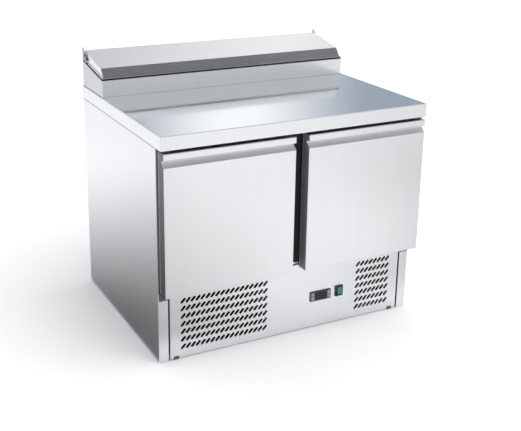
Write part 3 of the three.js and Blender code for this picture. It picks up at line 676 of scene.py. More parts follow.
def look(name):
    """A finish by its name, made the first time it is asked for."""
    if name not in LOOKS:
        maker, *details = finishes()[name]
        LOOKS[name] = maker(name, *details)
    return LOOKS[name]


def screw_head(centre, axis, radius, height, outward=1):
    """A domed screw head: a turned profile with a shallow recess in its middle."""
    u, v = RING_AXES[axis]
    base = centre["xyz".index(axis)]
    shares = np.array([(1, 0), (1, 0.4), (0.8, 0.85), (0.45, 1), (0.32, 1), (0.30, 0.55)])
    profile = shares * [radius, outward * height] + [0, base]
    return turned(profile[::outward], axis, (centre[u], centre[v]), 20)


# ------------------------------------------------------------------ cabinet


class PREPTABLE_OT_cabinet(Operator):
    """Build the side panels, back panel, base pan and door frame"""

    bl_idname = "preptable.cabinet"
    bl_label = "Cabinet"

    def execute(self, context):
        radius = shape().fold_radius
        for side, sign in (("left", -1), ("right", 1)):
            node = f"side_panel_{side}"
            (x0, y0, z0), (x1, y1, z1) = low(node), high(node)
            outer = x1 if sign > 0 else x0
            inner = x0 if sign > 0 else x1
            back_fold = outer - sign * 18 * MM
            skin = outer - sign * SHEET
            corners = [(outer, y0), (outer, y1), (back_fold, y1), (back_fold, y1 - SHEET),
                       (skin, y1 - SHEET), (skin, y0 + SHEET), (inner, y0 + SHEET), (inner, y0)]
            bend = 0.4 * MM
            radii = [radius, radius, 0, 0, bend, bend, 0, 0]
            if sign < 0:
                corners, radii = corners[::-1], radii[::-1]
            surface = bar(corners, radii, z0, z1, 0.3 * MM, "z", 2)
            piece(f"{side}_side_sheet", surface, "cabinet", look("side_steel"), [node],
                  "cabinet_steel")
        x0, x1 = low("centre_mullion")[0], high("centre_mullion")[0]
        front = low("door_frame")[1]
        sill = high("louvred_panel")[2] + 5 * MM
        margin, height = 9 * MM, 7 * MM
        plate = rounded_block((x0 + margin, front - 2.2 * MM, sill),
                              (x1 - margin, front - 0.1 * MM, sill + height), 0.8 * MM, 3)
        piece("sill_plate", plate, "cabinet", look("panel_steel"), slot="cabinet_steel")
        paint(look("zinc"), "back_panel", "base_pan")
        # The door frame and the centre mullion take black seal and black plastic finishes: painted
        # shade of the deep gaps behind and between the doors.
        paint(look("seal"), "door_frame")
        paint(look("black_plastic"), "centre_mullion")
        self.back_screws()
        return {"FINISHED"}

    def back_screws(self):
        """Two columns of screws that hold the back panel to the side folds."""
        (x0, _, z0), (x1, y1, z1) = low("back_panel"), high("back_panel")
        aside, upright, rows = 28 * MM, 30 * MM, 6
        heads = [screw_head((x, y1, z), "y", 3.6 * MM, 1.3 * MM)
                 for x in (x0 + aside, x1 - aside)
                 for z in np.linspace(z0 + upright, z1 - upright, rows)]
        piece("back_panel_screws", together(*heads), "cabinet", look("screw"))


class PREPTABLE_OT_louvred_panel(Operator):
    """Build the lower panel with its two groups of slanted louvre slots"""

    bl_idname = "preptable.louvred_panel"
    bl_label = "Louvred panel"

    def execute(self, context):
        panel_low, panel_high = low("louvred_panel"), high("louvred_panel")
        front, back = panel_low[1], panel_high[1]
        radius = shape().fold_radius
        inset, reach = quarter_round(radius)
        insets = np.concatenate([inset, [0, SHEET, SHEET]])
        stations = np.concatenate([front + reach, [back, back, front + SHEET]])
        rings = nested(*outline_of("louvred_panel", "y"), insets, radius)
        panel = piece("louvred_panel_sheet", loft(rings, stations, "y"), "cabinet",
                      look("panel_steel"), ["louvred_panel"], "cabinet_steel")
        cut_away(panel, self.slots(panel_low, panel_high))
        self.clips(panel_low, panel_high)
        return {"FINISHED"}

    def slots(self, panel_low, panel_high):
        """Every slot as a capsule-ended prism, and the two cut-outs for the controls."""
        settings = shape()
        rise, run = 18 * MM, 17.5 * MM
        left_margin, right_margin, foot = 35 * MM, 36 * MM, 30 * MM
        left_columns, right_columns = 18, 8
        half = settings.slot_width / 2
        reach = (run / 2 - half, rise / 2 - half)
        length = 2 * (math.hypot(*reach) + half)
        turn = np.linspace(-math.pi / 2, math.pi / 2, 7)
        cap = np.column_stack([length / 2 - half + half * np.cos(turn), half * np.sin(turn)])
        outline = np.concatenate([cap, -cap])
        angle = math.atan2(reach[1], reach[0])
        spin = np.array([[math.cos(angle), math.sin(angle)], [-math.sin(angle), math.cos(angle)]])
        outline = (outline @ spin)[:, ::-1][::-1]
        y0, y1 = panel_low[1] - 2 * MM, panel_low[1] + 4 * MM
        slot = loft(np.stack([outline, outline]), [y0, y1], "y")
        left = panel_low[0] + left_margin + run / 2
        right = (panel_high[0] - right_margin - run / 2
                 - (right_columns - 1) * settings.slot_pitch_x)
        offsets = [(start + column * settings.slot_pitch_x, 0,
                    foot + rise / 2 + row * settings.slot_pitch_z)
                   for start, columns in ((left, left_columns), (right, right_columns))
                   for row in range(settings.slot_rows)
                   for column in range(columns)]
        lap = 3 * MM
        openings = [
            rounded_block((low(node)[0] + lap, y0, low(node)[2] + lap),
                          (high(node)[0] - lap, y1, high(node)[2] - lap), 0.5 * MM, 2)
            for node in ("controller_bezel", "rocker_bezel")
        ]
        return together(copies(slot, offsets), *openings)

    def clips(self, panel_low, panel_high):
        """The two spring clips that hold the panel's lower edge."""
        y = panel_low[1]
        for name, x in (("left", panel_low[0] + 11 * MM), ("right", panel_high[0] - 34 * MM)):
            body = rounded_block((x, y - 1.2 * MM, 1.5 * MM), (x + 18 * MM, y + 2 * MM, 11 * MM),
                                 0.8 * MM, 3)
            tongue = rounded_block((x + 5 * MM, y - 2.2 * MM, 3.5 * MM),
                                   (x + 13 * MM, y + 1 * MM, 8.5 * MM), 0.8 * MM, 3)
            # The clips' dark grey is partly painted shade by the floor.
            piece(f"panel_clip_{name}", together(body, tongue), "cabinet", look("dark_zinc"),
                  slot="galvanised")


def cut_away(target, surface):
    """Takes a closed surface's inside out of a piece by an exact boolean, applied at once."""
    cutter = as_object("cutter", surface)
    cut = target.modifiers.new("Cut", "BOOLEAN")
    cut.operation, cut.solver, cut.object = "DIFFERENCE", "EXACT", cutter
    target.modifiers.move(len(target.modifiers) - 1, 0)
    for other in bpy.context.view_layer.objects:
        other.select_set(False)
    target.select_set(True)
    bpy.context.view_layer.objects.active = target
    bpy.ops.object.modifier_apply(modifier="Cut")
    bpy.data.objects.remove(cutter)
    target.data.set_sharp_from_angle(angle=math.radians(SMOOTH_UP_TO))


# ------------------------------------------------------------------ worktop and pan housing


class PREPTABLE_OT_worktop(Operator):
    """Build the folded steel worktop with its opening for the pans"""

    bl_idname = "preptable.worktop"
    bl_label = "Worktop"

    def execute(self, context):
        bottom, top = low("worktop_skin")[2], high("worktop_skin")[2]
        centre, half = outline_of("worktop_skin", "z")
        well_centre, well_half = outline_of("pan_rail", "z")
        hem, lip = 14 * MM, 1 * MM
        under_inset, under_reach = quarter_round(1.4 * MM)
        upper_drop, upper_inset = quarter_round(2.2 * MM)
        rings = np.concatenate([
            nested(centre, half, [hem, *under_inset, *upper_inset], 1.5 * MM),
            nested(well_centre, well_half + WELL_GAP, [-lip, 0, 0], 2.5 * MM)])
        heights = np.concatenate([[bottom], bottom + under_reach, top - upper_drop,
                                  [top, top - lip, bottom]])
        sheet = piece("worktop_sheet", loft(rings, heights, "z", loop=True), "cabinet",
                      look("top_steel"), ["worktop_skin", "worktop_core"], "worktop_steel")
        # The folded edges of the same sheet get a lighter grey than the top: painted light on the
        # folds.
        second_finish(sheet, look("fold_steel"),
                      lambda normals, centres: (np.abs(normals[:, 2]) < 0.5)
                      & (np.abs(centres[:, :2] - centre) > half - lip).any(axis=1))
        # Dark strips that paint the shadow line under the worktop's fold.
        self.shade_strips(bottom)
        return {"FINISHED"}

    def shade_strips(self, under):
        """A dark strip in the seal finish under the fold, along the top of each side panel: painted
        shade for the shadow line under the worktop.
        """
        shade_height, proud = 2.0 * MM, 0.7 * MM
        for side, sign in (("left", -1), ("right", 1)):
            (x0, y0, _), (x1, y1, _) = low(f"side_panel_{side}"), high(f"side_panel_{side}")
            face = x1 if sign > 0 else x0
            start, end = sorted((face + sign * proud, face - sign * shade_height))
            strip = rounded_block((start, y0 + 1 * MM, under - shade_height), (end, y1 - 1 * MM, under),
                                  0.5 * MM, 3)
            piece(f"worktop_shade_strip_{side}", strip, "cabinet", look("seal"), slot="seal_rubber")


def rim_slope():
    """Front height and slope of the pan housing's rim, from the lid seal's own corners."""
    seal_low, seal_high = low("lid_gasket"), high("lid_gasket")
    strip = 4.0 * MM
    rise = seal_high[2] - seal_low[2] - strip
    slope = rise / (seal_high[1] - seal_low[1])
    return seal_low[1], seal_low[2], slope


class PREPTABLE_OT_pan_housing(Operator):
    """Build the raised pan housing, its seal, the rail and the food pans"""

    bl_idname = "preptable.pan_housing"
    bl_label = "Pan housing"

    def execute(self, context):
        self.housing()
        self.seal()
        self.pans()
        paint(look("liner_steel"), "pan_rail")
        return {"FINISHED"}

    def housing(self):
        """Four walls round the well: outer and inner outlines, the rim rising to the back."""
        (x0, y0, z0), (x1, y1, top) = low("pan_housing"), high("pan_housing")
        seal_y, seal_z, slope = rim_slope()
        front = seal_z - (seal_y - y0) * slope
        centre, half = outline_of("pan_housing", "z")
        well_centre, well_half = outline_of("pan_rail", "z")
        corner, lip = 2 * MM, 1 * MM
        drop, inset = quarter_round(1.6 * MM, 5)
        rings = np.concatenate([
            nested(centre, half, [0, *inset], corner),
            nested(well_centre, well_half + WELL_GAP, [-lip, 0, 0], corner)])
        heights = np.concatenate([[z0], front - drop, [front, front - lip, z0]])
        sloped = np.concatenate([[0], np.ones(len(drop)), [1, 1, 0]])
        heights = heights[:, None] + sloped[:, None] * (rings[:, :, 1] - y0) * slope
        sheet = piece("pan_housing_sheet", loft(rings, heights, "z", loop=True), "cabinet",
                      look("housing_steel"), ["pan_housing"], "cabinet_steel")
        # The two end faces of the same sheet get a darker grey: painted shade on the ends.
        second_finish(sheet, look("housing_end_steel"),
                      lambda normals, centres: (np.abs(normals[:, 0]) > 0.7)
                      & (np.abs(centres[:, 0] - centre[0]) > half[0] - lip))
        rib = rounded_block((x0 + 2 * MM, y1 - 3.5 * MM, top - 9 * MM),
                            (x1 - 2 * MM, y1 - 0.2 * MM, top), 1 * MM, 3)
        piece("pan_housing_rib", rib, "cabinet", look("housing_steel"), slot="cabinet_steel")

    def seal(self):
        """A half-round strip along the front and both ends of the rim."""
        (x0, y0, z0), (x1, y1, _) = low("lid_gasket"), high("lid_gasket")
        _, _, slope = rim_slope()
        strip, rise = 8 * MM, 4 * MM
        section_turn = np.linspace(0, math.pi, 9)
        offset = np.concatenate([strip / 2 * (1 - np.cos(section_turn)), [strip]])[:-1]
        height = rise * np.sin(section_turn) ** 0.6
        half = (x1 - x0) / 2
        corners = np.array([(half, y1), (half, y0), (-half, y0), (-half, y1)])
        inward = np.array([(-1, 0), (-1, 1), (1, 1), (1, 0)])
        rings = corners[:, None, :] + inward[:, None, :] * offset[None, :, None]
        rings[:, :, 0] += (x0 + x1) / 2
        z = z0 + height[None, :] + (rings[:, :, 1] - y0) * slope
        points = np.dstack([rings, z]).reshape(-1, 3)
        count = rings.shape[1]
        r, c = np.meshgrid(np.arange(3), np.arange(count), indexing="ij")
        right = (c + 1) % count
        faces = np.stack([r * count + c, (r + 1) * count + c, (r + 1) * count + right,
                          r * count + right], axis=-1).reshape(-1, 4).tolist()
        faces.append(list(range(count)))
        faces.append([3 * count + index for index in range(count)][::-1])
        piece("lid_seal_strip", (points, faces), "cabinet", look("lid_seal"), ["lid_gasket"],
              "seal_rubber", 50)

    def pans(self):
        """Each pan is one sheet carried round a rounded rectangle: curled rim, wall, foot."""
        rim, wall, taper, bend, curl = 11 * MM, 0.9 * MM, 6 * MM, 12 * MM, 1.4 * MM
        turn = np.linspace(-0.4 * math.pi, 0.5 * math.pi, 6)
        foot_drop, foot_inset = quarter_round(bend)
        heel_drop, heel_inset = (side[::-1] for side in quarter_round(bend + wall))
        insets = np.concatenate([rim + taper + heel_inset - wall,
                                 [rim + 0.6 * MM, rim - wall, 2 * MM],
                                 curl - curl * np.cos(turn), [rim, rim + 1.5 * MM],
                                 rim + taper + foot_inset])
        radii = np.clip(22 * MM - (insets - rim) * 0.4, 6 * MM, 30 * MM)
        index = 1
        while f"food_pan_{index}" in frame["nodes"]:
            node = f"food_pan_{index}"
            foot, top = low(node)[2], high(node)[2]
            heights = np.concatenate([foot + heel_drop,
                                      top - np.array([3, 1.5, 2.4]) * MM,
                                      top - curl + curl * np.sin(turn), [top, top - 2 * MM],
                                      foot + wall + foot_drop])
            rings = nested(*outline_of(node, "z"), insets, radii, 6)
            piece(f"gastronorm_pan_{index}", loft(rings, heights, "z"), "cabinet",
                  look("pan_steel"), [node], "liner_steel", 40)
            index += 1


# ------------------------------------------------------------------ lid


class PREPTABLE_OT_lid(Operator):
    """Build the lid, its inner sheet and the two pivot brackets"""

    bl_idname = "preptable.lid"
    bl_label = "Lid"

    def execute(self, context):
        settings = shape()
        (x0, y0, z0), (x1, y1, z1) = low("lid_skin"), high("lid_skin")
        _, _, slope = rim_slope()

        def floor(y):
            """The height of the lid's slanted underside."""
            return z0 + (y - y0) * slope

        heel = y1 - 24 * MM
        crest = y0 + settings.lid_setback - 1 * MM
        corners = [(y0, floor(y0)), (heel, floor(heel)), (y1, floor(y1) + 5 * MM), (y1, z1),
                   (crest, floor(y0) + settings.lid_front_height)]
        radii = [1.0 * MM, 1.0 * MM, 1.0 * MM, 2.4 * MM, 3.0 * MM]
        piece("lid_sheet", bar(corners, radii, x0, x1, 2.0 * MM, "x"), "lid", look("lid_steel"),
              ["lid_skin", "lid_insulation"], "lid_steel")
        self.inner_sheet(floor)
        self.end_flanges(x0, x1, y0, floor)
        self.brackets()
        return {"FINISHED"}

    def inner_sheet(self, floor):
        """A shallow pressed tray under the lid, following its slope."""
        insets = np.array([2, 2, 10, 11.5, 14, 16]) * MM
        drops = np.array([0.4, -0.3, -0.3, -0.6, -1.9, -2.2]) * MM
        rings = nested(*outline_of("lid_liner", "z"), insets, 6 * MM)[:, ::-1]
        heights = floor(rings[:, :, 1]) + drops[:, None]
        piece("lid_inner_sheet", loft(rings, heights, "z"), "lid", look("liner_steel"),
              ["lid_liner"], "liner_steel")

    def end_flanges(self, x0, x1, y0, floor):
        """The narrow turned-out flange along the lower edge of each end."""
        out, lap = 3.2 * MM, 1 * MM
        back = y0 + 150 * MM
        for name, start, end in (("left", x0 - out, x0 + lap), ("right", x1 - lap, x1 + out)):
            corners = [(y0 + 1 * MM, floor(y0)), (back, floor(back)),
                       (back - 3 * MM, floor(back) + 3.6 * MM), (y0 + 4 * MM, floor(y0) + 4 * MM)]
            flange = bar(corners, [0.6 * MM] * 4, start, end, 0.8 * MM, "x", 3, 3)
            piece(f"lid_end_flange_{name}", flange, "lid", look("lid_steel"), slot="lid_steel")

    def brackets(self):
        """A pointed upright ear at each back corner, with its pivot and fixing screws."""
        pivot = pivot_of("lid_hinge")
        for side, sign in (("left", -1), ("right", 1)):
            node = f"lid_bracket_{side}"
            (x0, y0, z0), (x1, y1, z1) = low(node), high(node)
            outer = x1 if sign > 0 else x0
            thickness, foot_length = 2 * MM, 28 * MM
            inner = outer - sign * thickness
            foot_end = outer - sign * foot_length
            ear_low = high("pan_housing")[2] + 0.3 * MM
            corners = [(y0, ear_low - 5.5 * MM), (y1 - 5 * MM, ear_low), (y1, ear_low),
                       (y1, z1), (y1 - 3 * MM, z1), (y0 + 2 * MM, pivot[2] - 8 * MM)]
            radii = [2 * MM, 0.5 * MM, 0.5 * MM, 0.8 * MM, 1.2 * MM, 3 * MM]
            ear = bar(corners, radii, min(inner, outer), max(inner, outer), 0.5 * MM, "x", 3)
            foot_x = sorted((outer, foot_end))
            foot = rounded_block((foot_x[0], y1 - thickness, z0),
                                 (foot_x[1], y1, ear_low + 3 * MM), 0.6 * MM, 3)
            piece(f"lid_ear_{side}", together(ear, foot), "cabinet", look("ear_steel"), [node],
                  "lid_steel")
            heads = [screw_head((outer, pivot[1], pivot[2]), "x", 5.2 * MM, 1.4 * MM, sign),
                     screw_head((outer, pivot[1] - 11 * MM, pivot[2] - 9 * MM), "x", 3.4 * MM,
                                1.2 * MM, sign)]
            piece(f"lid_ear_screws_{side}", together(*heads), "cabinet", look("black_plastic"),
                  slot="black_plastic")
            fixings = [screw_head((foot_x[0] + d * MM, y1, z0 + 8 * MM), "y", 3 * MM, 0.6 * MM)
                       for d in (8, 20)]
            piece(f"lid_foot_screws_{side}", together(*fixings), "cabinet", look("screw"))


# ------------------------------------------------------------------ doors


class PREPTABLE_OT_doors(Operator):
    """Build both doors with their pull grooves, inner sheets, seals and hinges"""

    bl_idname = "preptable.doors"
    bl_label = "Doors"

    def execute(self, context):
        for side in ("left", "right"):
            self.leaf(side)
            self.inner_sheet(side)
            self.seal(side)
            self.hinges(side)
        return {"FINISHED"}

    def leaf(self, side):
        """The door's section, with the lip and slanted groove, carried across its width."""
        settings = shape()
        node = f"{side}_door_skin"
        (x0, y0, z0), (x1, _, z1) = low(node), high(node)
        lip = z1 - settings.lip_height
        groove = y0 + settings.groove_depth
        back = high(f"{side}_door_liner")[1] - 5 * MM
        corners = [(y0, z0), (back, z0), (back, z1), (y0, z1), (y0, lip), (groove, lip),
                   (y0, lip - settings.groove_drop)]
        edge = settings.door_radius
        radii = [edge, 0.5 * MM, 0.5 * MM, edge, 3.6 * MM, 4 * MM, 2.4 * MM]
        surface = bar(corners, radii, x0, x1, 2.0 * MM, "x", 5, 6)
        leaf = piece(f"{side}_door_leaf", surface, f"{side}_door", look("door_steel"),
                     [node, f"{side}_door_insulation"], "cabinet_steel")
        # The groove faces of the same sheet get a lighter grey: painted light in the groove.
        second_finish(leaf, look("groove_steel"),
                      lambda normals, centres: (centres[:, 1] > y0 + 1.5 * MM)
                      & (centres[:, 2] < lip + 1 * MM) & (normals[:, 1] < 0.5)
                      & (centres[:, 2] > lip - settings.groove_drop - 2 * MM))
        # The door's end faces: the outer ends get the darker grey and the ends towards the middle a
        # lighter one, painted shade of the gaps beside the doors.
        second_finish(leaf, look("edge_trim"),
                      lambda normals, centres: np.abs(normals[:, 0]) > 0.85)
        towards_middle = 1 if side == "left" else -1
        second_finish(leaf, look("middle_trim"),
                      lambda normals, centres: normals[:, 0] * towards_middle > 0.85)

    def inner_sheet(self, side):
        """A pressed panel: flat border under the seal and a shallow recessed field."""
        node = f"{side}_door_liner"
        back = high(node)[1]
        insets = np.array([0.4, 0, 0, 0.5, 34, 36, 40, 42, 44]) * MM
        depths = back + np.array([-5, -4.6, -0.5, 0, 0, -0.4, -3.2, -3.6, -3.6]) * MM
        radii = np.array([2, 2, 2, 2, 10, 10, 9, 9, 8]) * MM
        rings = nested(*outline_of(node, "y"), insets, radii, 5)
        sheet = piece(f"{side}_door_inner_sheet", loft(rings, depths, "y"), f"{side}_door",
                      look("liner_steel"), [node], "liner_steel")
        # The inner sheet's sides get the dark trim grey: painted shade in the gap behind the door.
        second_finish(sheet, look("edge_trim"),
                      lambda normals, centres: (np.abs(normals[:, 1]) < 0.5)
                      & (centres[:, 1] < back - 0.6 * MM))

    def seal(self, side):
        """Magnetic seal: a closed bellows section carried round the door's back."""
        node = f"{side}_door_gasket"
        front, back = low(node)[1], high(node)[1]
        section = np.array([(2, 0), (0.4, 0.15), (0, 0.35), (2.5, 0.5), (0.8, 0.65), (0.5, 0.9),
                            (1.5, 1), (12, 1), (13.5, 0.9), (13.2, 0.62), (17, 0.45),
                            (20, 0.25), (19, 0)])
        rings = nested(*outline_of(node, "y"), section[:, 0] * MM, 3 * MM)
        depths = front + section[:, 1] * (back - front)
        piece(f"{side}_door_seal", loft(rings, depths, "y", loop=True), f"{side}_door",
              look("seal"), [node], "seal_rubber", 60)

    def hinges(self, side):
        """Rounded hinge plates with their legs, pins and screws."""
        pivot = pivot_of(f"{side}_door_hinge")
        thickness, clear, past = 3 * MM, 1.5 * MM, 1 * MM
        for end in ("lower", "upper"):
            node = f"{side}_{end}_hinge"
            (x0, y0, z0), (x1, y1, z1) = low(node), high(node)
            if end == "lower":
                plate_top = low(f"{side}_door_skin")[2] - clear
                plate_low, leg_low, leg_high = plate_top - thickness, z0, plate_top
                pin = (plate_low - past, z1)
            else:
                plate_low = high(f"{side}_door_skin")[2] + clear
                plate_top = plate_low + thickness
                leg_low, leg_high = plate_low, z1
                pin = (z0, plate_top + past)
            corners = [(x0, y0), (x1, y0), (x1, y1), (x0, y1)]
            plate = bar(corners, [7 * MM, 7 * MM, 1 * MM, 1 * MM], plate_low, plate_top,
                        0.5 * MM, "z", 3)
            leg = rounded_block((x0, y1 - thickness, leg_low), (x1, y1, leg_high), 0.8 * MM, 3)
            shaft = turned([(3.6 * MM, pin[0]), (4 * MM, pin[0] + 0.4 * MM),
                            (4 * MM, pin[1] - 0.6 * MM), (3.2 * MM, pin[1])], "z", pivot[:2], 24)
            parts = [plate, leg, shaft]
            if end == "lower":
                parts += [screw_head(((x0 + x1) / 2 + d * MM, y1 - thickness, leg_low + 7 * MM),
                                     "y", 3.2 * MM, 1.2 * MM, -1) for d in (-8, 8)]
            # The hinges' dark grey is partly painted shade under the doors.
            piece(f"{side}_{end}_hinge_plate", together(*parts), "cabinet", look("dark_zinc"),
                  [node], "galvanised")


# ------------------------------------------------------------------ controls


class PREPTABLE_OT_controls(Operator):
    """Build the temperature controller and the rocker switch"""

    bl_idname = "preptable.controls"
    bl_label = "Controls"

    def execute(self, context):
        self.controller()
        self.key_fields()
        self.window()
        self.keys()
        self.switch()
        return {"FINISHED"}

    def controller(self):
        """A rounded frame round the window, its front edge a quarter circle."""
        front, back = low("controller_bezel")[1], high("controller_bezel")[1]
        behind = low("louvred_panel")[1] - 0.2 * MM
        centre, half = outline_of("controller_bezel", "y")
        window_half = outline_of("display_window", "y")[1]
        window_insets = np.array([-0.3, -0.3, -0.7, -2.0]) * MM
        sunk = np.array([1.8, 0.8, 0.35, 0]) * MM
        inset, reach = quarter_round(1.6 * MM)
        corner, tail_corner, tail = 3.2 * MM, 1.5 * MM, 3 * MM
        radii = [corner] * (len(inset) + 1) + [tail_corner] * 2
        rings = np.concatenate([nested(centre, window_half, window_insets, 1 * MM, 6),
                                nested(centre, half, [*inset, 0, tail, tail], radii, 6)])
        stations = np.concatenate([front + sunk, front + reach, [behind, behind, back]])
        piece("controller_frame", loft(rings, stations, "y"), "cabinet", look("black_plastic"),
              ["controller_bezel"], "black_plastic", 40)

    def key_fields(self):
        """The plates beside the window, each with a pocket for its two keys to sink into."""
        (x0, y0, z0), (x1, _, z1) = low("controller_bezel"), high("controller_bezel")
        window = low("display_window")[0], high("display_window")[0]
        gap, opening = 0.25 * MM, np.array([0, 2 * MM, 0])
        for name, start, end, keys in (("left", x0, window[0], (1, 2)),
                                       ("right", window[1], x1, (3, 4))):
            field = rounded_block((start + 1.6 * MM, y0 - 0.35 * MM, z0 + 2.0 * MM),
                                  (end - 0.8 * MM, y0 + 0.4 * MM, z1 - 2.0 * MM), 0.35 * MM, 3)
            plate = piece(f"controller_key_field_{name}", field, "cabinet", look("key_field"),
                          slot="grey_plastic")
            cut_away(plate, together(*[
                rounded_block(low(f"controller_button_{key}") - gap - opening,
                              high(f"controller_button_{key}") + gap, 1 * MM, 3)
                for key in keys]))

    def window(self):
        """The smoked pane, a little thicker at the back than its CAD node."""
        glass = rounded_block(low("display_window"), high("display_window") + [0, 0.8 * MM, 0],
                              0.5 * MM, 3)
        piece("controller_window", glass, "cabinet", look("window"), ["display_window"],
              "display")

    def keys(self):
        """Domed keys: rounded rectangles that shrink towards the front."""
        shares, rise = (0.55, 0.8, 0.93, 1.0, 1.0), np.array([0, 0.12, 0.35, 0.8])
        dome, corner = 0.7 * MM, 1.6 * MM
        for index in range(1, 5):
            node = f"controller_button_{index}"
            centre, half = outline_of(node, "y")
            rings = np.stack([rounded_rectangle(*half * share, corner * share, 5, centre)
                              for share in shares])
            stations = np.append(low(node)[1] + rise * dome, high(node)[1])
            piece(f"controller_key_{index}", loft(rings, stations, "y"), node,
                  look("key_plastic"), [node], "grey_plastic", 50)

    def switch(self):
        """A square frame round a two-sided rocker that tips on its middle."""
        front, back = low("rocker_bezel")[1], high("rocker_bezel")[1]
        behind = low("louvred_panel")[1] - 0.2 * MM
        centre, half = outline_of("rocker_bezel", "y")
        well = outline_of("power_rocker", "y")[1] + np.array([0.6, 0.5]) * MM
        inset, reach = quarter_round(1.4 * MM)
        chamfer, tail, depth = 0.6 * MM, 3 * MM, 10 * MM
        radii = [2 * MM] * len(inset) + [1 * MM] * 3
        rings = np.concatenate([
            nested(centre, well, [0, 0, -chamfer], np.array([0.8, 0.8, 1]) * MM, 5),
            nested(centre, half, [*inset, 0, tail, tail], radii, 5)])
        stations = np.concatenate([[front + depth, front + 0.7 * MM, front], front + reach,
                                   [behind, behind, back]])
        piece("switch_frame", loft(rings, stations, "y"), "cabinet", look("black_plastic"),
              ["rocker_bezel"], "black_plastic", 40)
        self.rocker()

    def rocker(self):
        """A hollow-faced rocker tipped back by its rest angle, and the green lens on it.

        The face stands forward of its middle by the flare times |u| to the power 1.6, u running
        from -1 to 1 up the face. The lens follows one half of the face, drawn out a little.
        """
        left, right = low("power_rocker")[0], high("power_rocker")[0]
        pivot = pivot_of("power_rocker_tilt")
        tilt, half_height = math.radians(8), 13 * MM
        flare = half_height * math.tan(tilt)
        crown, edge, keel = 4 * MM, 3 * MM, 4 * MM
        u = np.linspace(-1, 1, 15)
        face = np.column_stack([-crown - flare * np.abs(u) ** 1.6, u * half_height])
        back = np.array([(-crown + edge, half_height), (keel, half_height * 0.3),
                         (keel, -half_height * 0.3), (-crown + edge, -half_height)])
        outline = np.concatenate([face, back])[::-1]
        turn_back = np.array([[math.cos(tilt), -math.sin(tilt)], [math.sin(tilt), math.cos(tilt)]])
        outline = outline @ turn_back + np.array([pivot[1], pivot[2]])
        square = np.zeros(len(outline))
        piece("switch_rocker", bar(outline, square, left, right, 0.7 * MM, "x", 3),
              "power_rocker", look("black_plastic"), ["power_rocker"], "green_plastic", 40)
        proud, thickness = 0.35 * MM, 1.2 * MM
        shown = drawn_in(outline, square, -proud)[0][2 + len(back) // 2:-1]
        lens = np.concatenate([shown, shown[::-1] + [thickness, 0]])
        # The lens stops 3.6 mm short of the rocker's left end and 1.8 mm short of its right, so the
        # black shows wider on the left: painted shade from the frame.
        surface = bar(lens, np.zeros(len(lens)), left + 3.6 * MM, right - 1.8 * MM, 0.3 * MM,
                      "x", 3)
        piece("switch_lens", surface, "power_rocker", look("green"), slot="green_plastic",
              sharp_degrees=40)


# ------------------------------------------------------------------ inside


class PREPTABLE_OT_interior(Operator):
    """Finish the compartment, the wire shelves and the evaporator"""

    bl_idname = "preptable.interior"
    bl_label = "Interior"

    def execute(self, context):
        paint(look("liner_steel"), "liner_side_left", "liner_side_right", "liner_back",
              "liner_floor", "evaporator_cover")
        paint(look("foam"), "body_insulation")
        paint(look("fins"), "evaporator_coil")
        for side in ("left", "right"):
            self.shelf(side)
        fan_wheel("evaporator_fan", look("black_plastic"))
        return {"FINISHED"}

    def shelf(self, side):
        """Round wires: three rails from side to side, and a row of thinner bars on them."""
        node = f"shelf_{side}"
        (x0, y0, z0), (x1, y1, _) = low(node), high(node)
        wire, slack, bars = 2.2 * MM, 0.2 * MM, 17
        rail_z, bar_z = z0 + wire, z0 + 3 * wire - slack
        parts = [tube([(x0, y, rail_z), (x1, y, rail_z)], wire, 10)
                 for y in (y0 + wire, (y0 + y1) / 2, y1 - wire)]
        parts += [tube([(x, y0 + slack, bar_z), (x, y1 - slack, bar_z)], wire * 0.8, 8)
                  for x in np.linspace(x0 + wire, x1 - wire, bars)]
        piece(f"wire_shelf_{side}", together(*parts), "cabinet", look("wire"), [node],
              "wire_coat", 60)


def fan_wheel(body, material, count=5):
    """A hub and curved blades: each blade is a grid over radius and chord.

    Its pitch falls from root to tip, its chord widens to the middle, and its camber is a
    shallow arc; the same grid a blade's thickness behind closes it.
    """
    pivot = pivot_of(body, "child")
    (x0, y0, z0), (x1, y1, z1) = low(body), high(body)
    middle = (y0 + y1) / 2
    radius = max(x1 - x0, z1 - z0) / 2 - 1 * MM
    hub = radius * 0.27
    depth = (y1 - y0) * 0.46
    thickness = 0.6 * MM
    profile = (np.array([(0.5, -1), (0.9, -0.92), (1, -0.6), (1, 0.8), (0.9, 0.9)])
               * [hub, depth] + [0, middle])
    parts = [turned(profile, "y", (pivot[2], pivot[0]), 28)]
    root = hub * 0.9
    share = np.linspace(0, 1, 9)[:, None]
    chord = np.linspace(-1, 1, 9)[None, :]
    distance = root + (radius - root) * share
    half_chord = radius * (0.22 + 0.16 * np.sin(math.pi * share * 0.8))
    pitch = np.radians(34 - 14 * share)
    camber = 0.12 * half_chord * (1 - chord**2)
    across = half_chord * chord
    y = middle + across * np.sin(pitch) * 0.62 - camber
    for blade in range(count):
        angle = across / distance * np.cos(pitch) + blade * 2 * math.pi / count
        x, z = pivot[0] + distance * np.cos(angle), pivot[2] + distance * np.sin(angle)
        parts.append(closed_sheet(*(np.dstack([x, y + shift, z])
                                    for shift in (-thickness, thickness))))
    piece(f"{body}_wheel", together(*parts), body, material, [body], sharp_degrees=40)


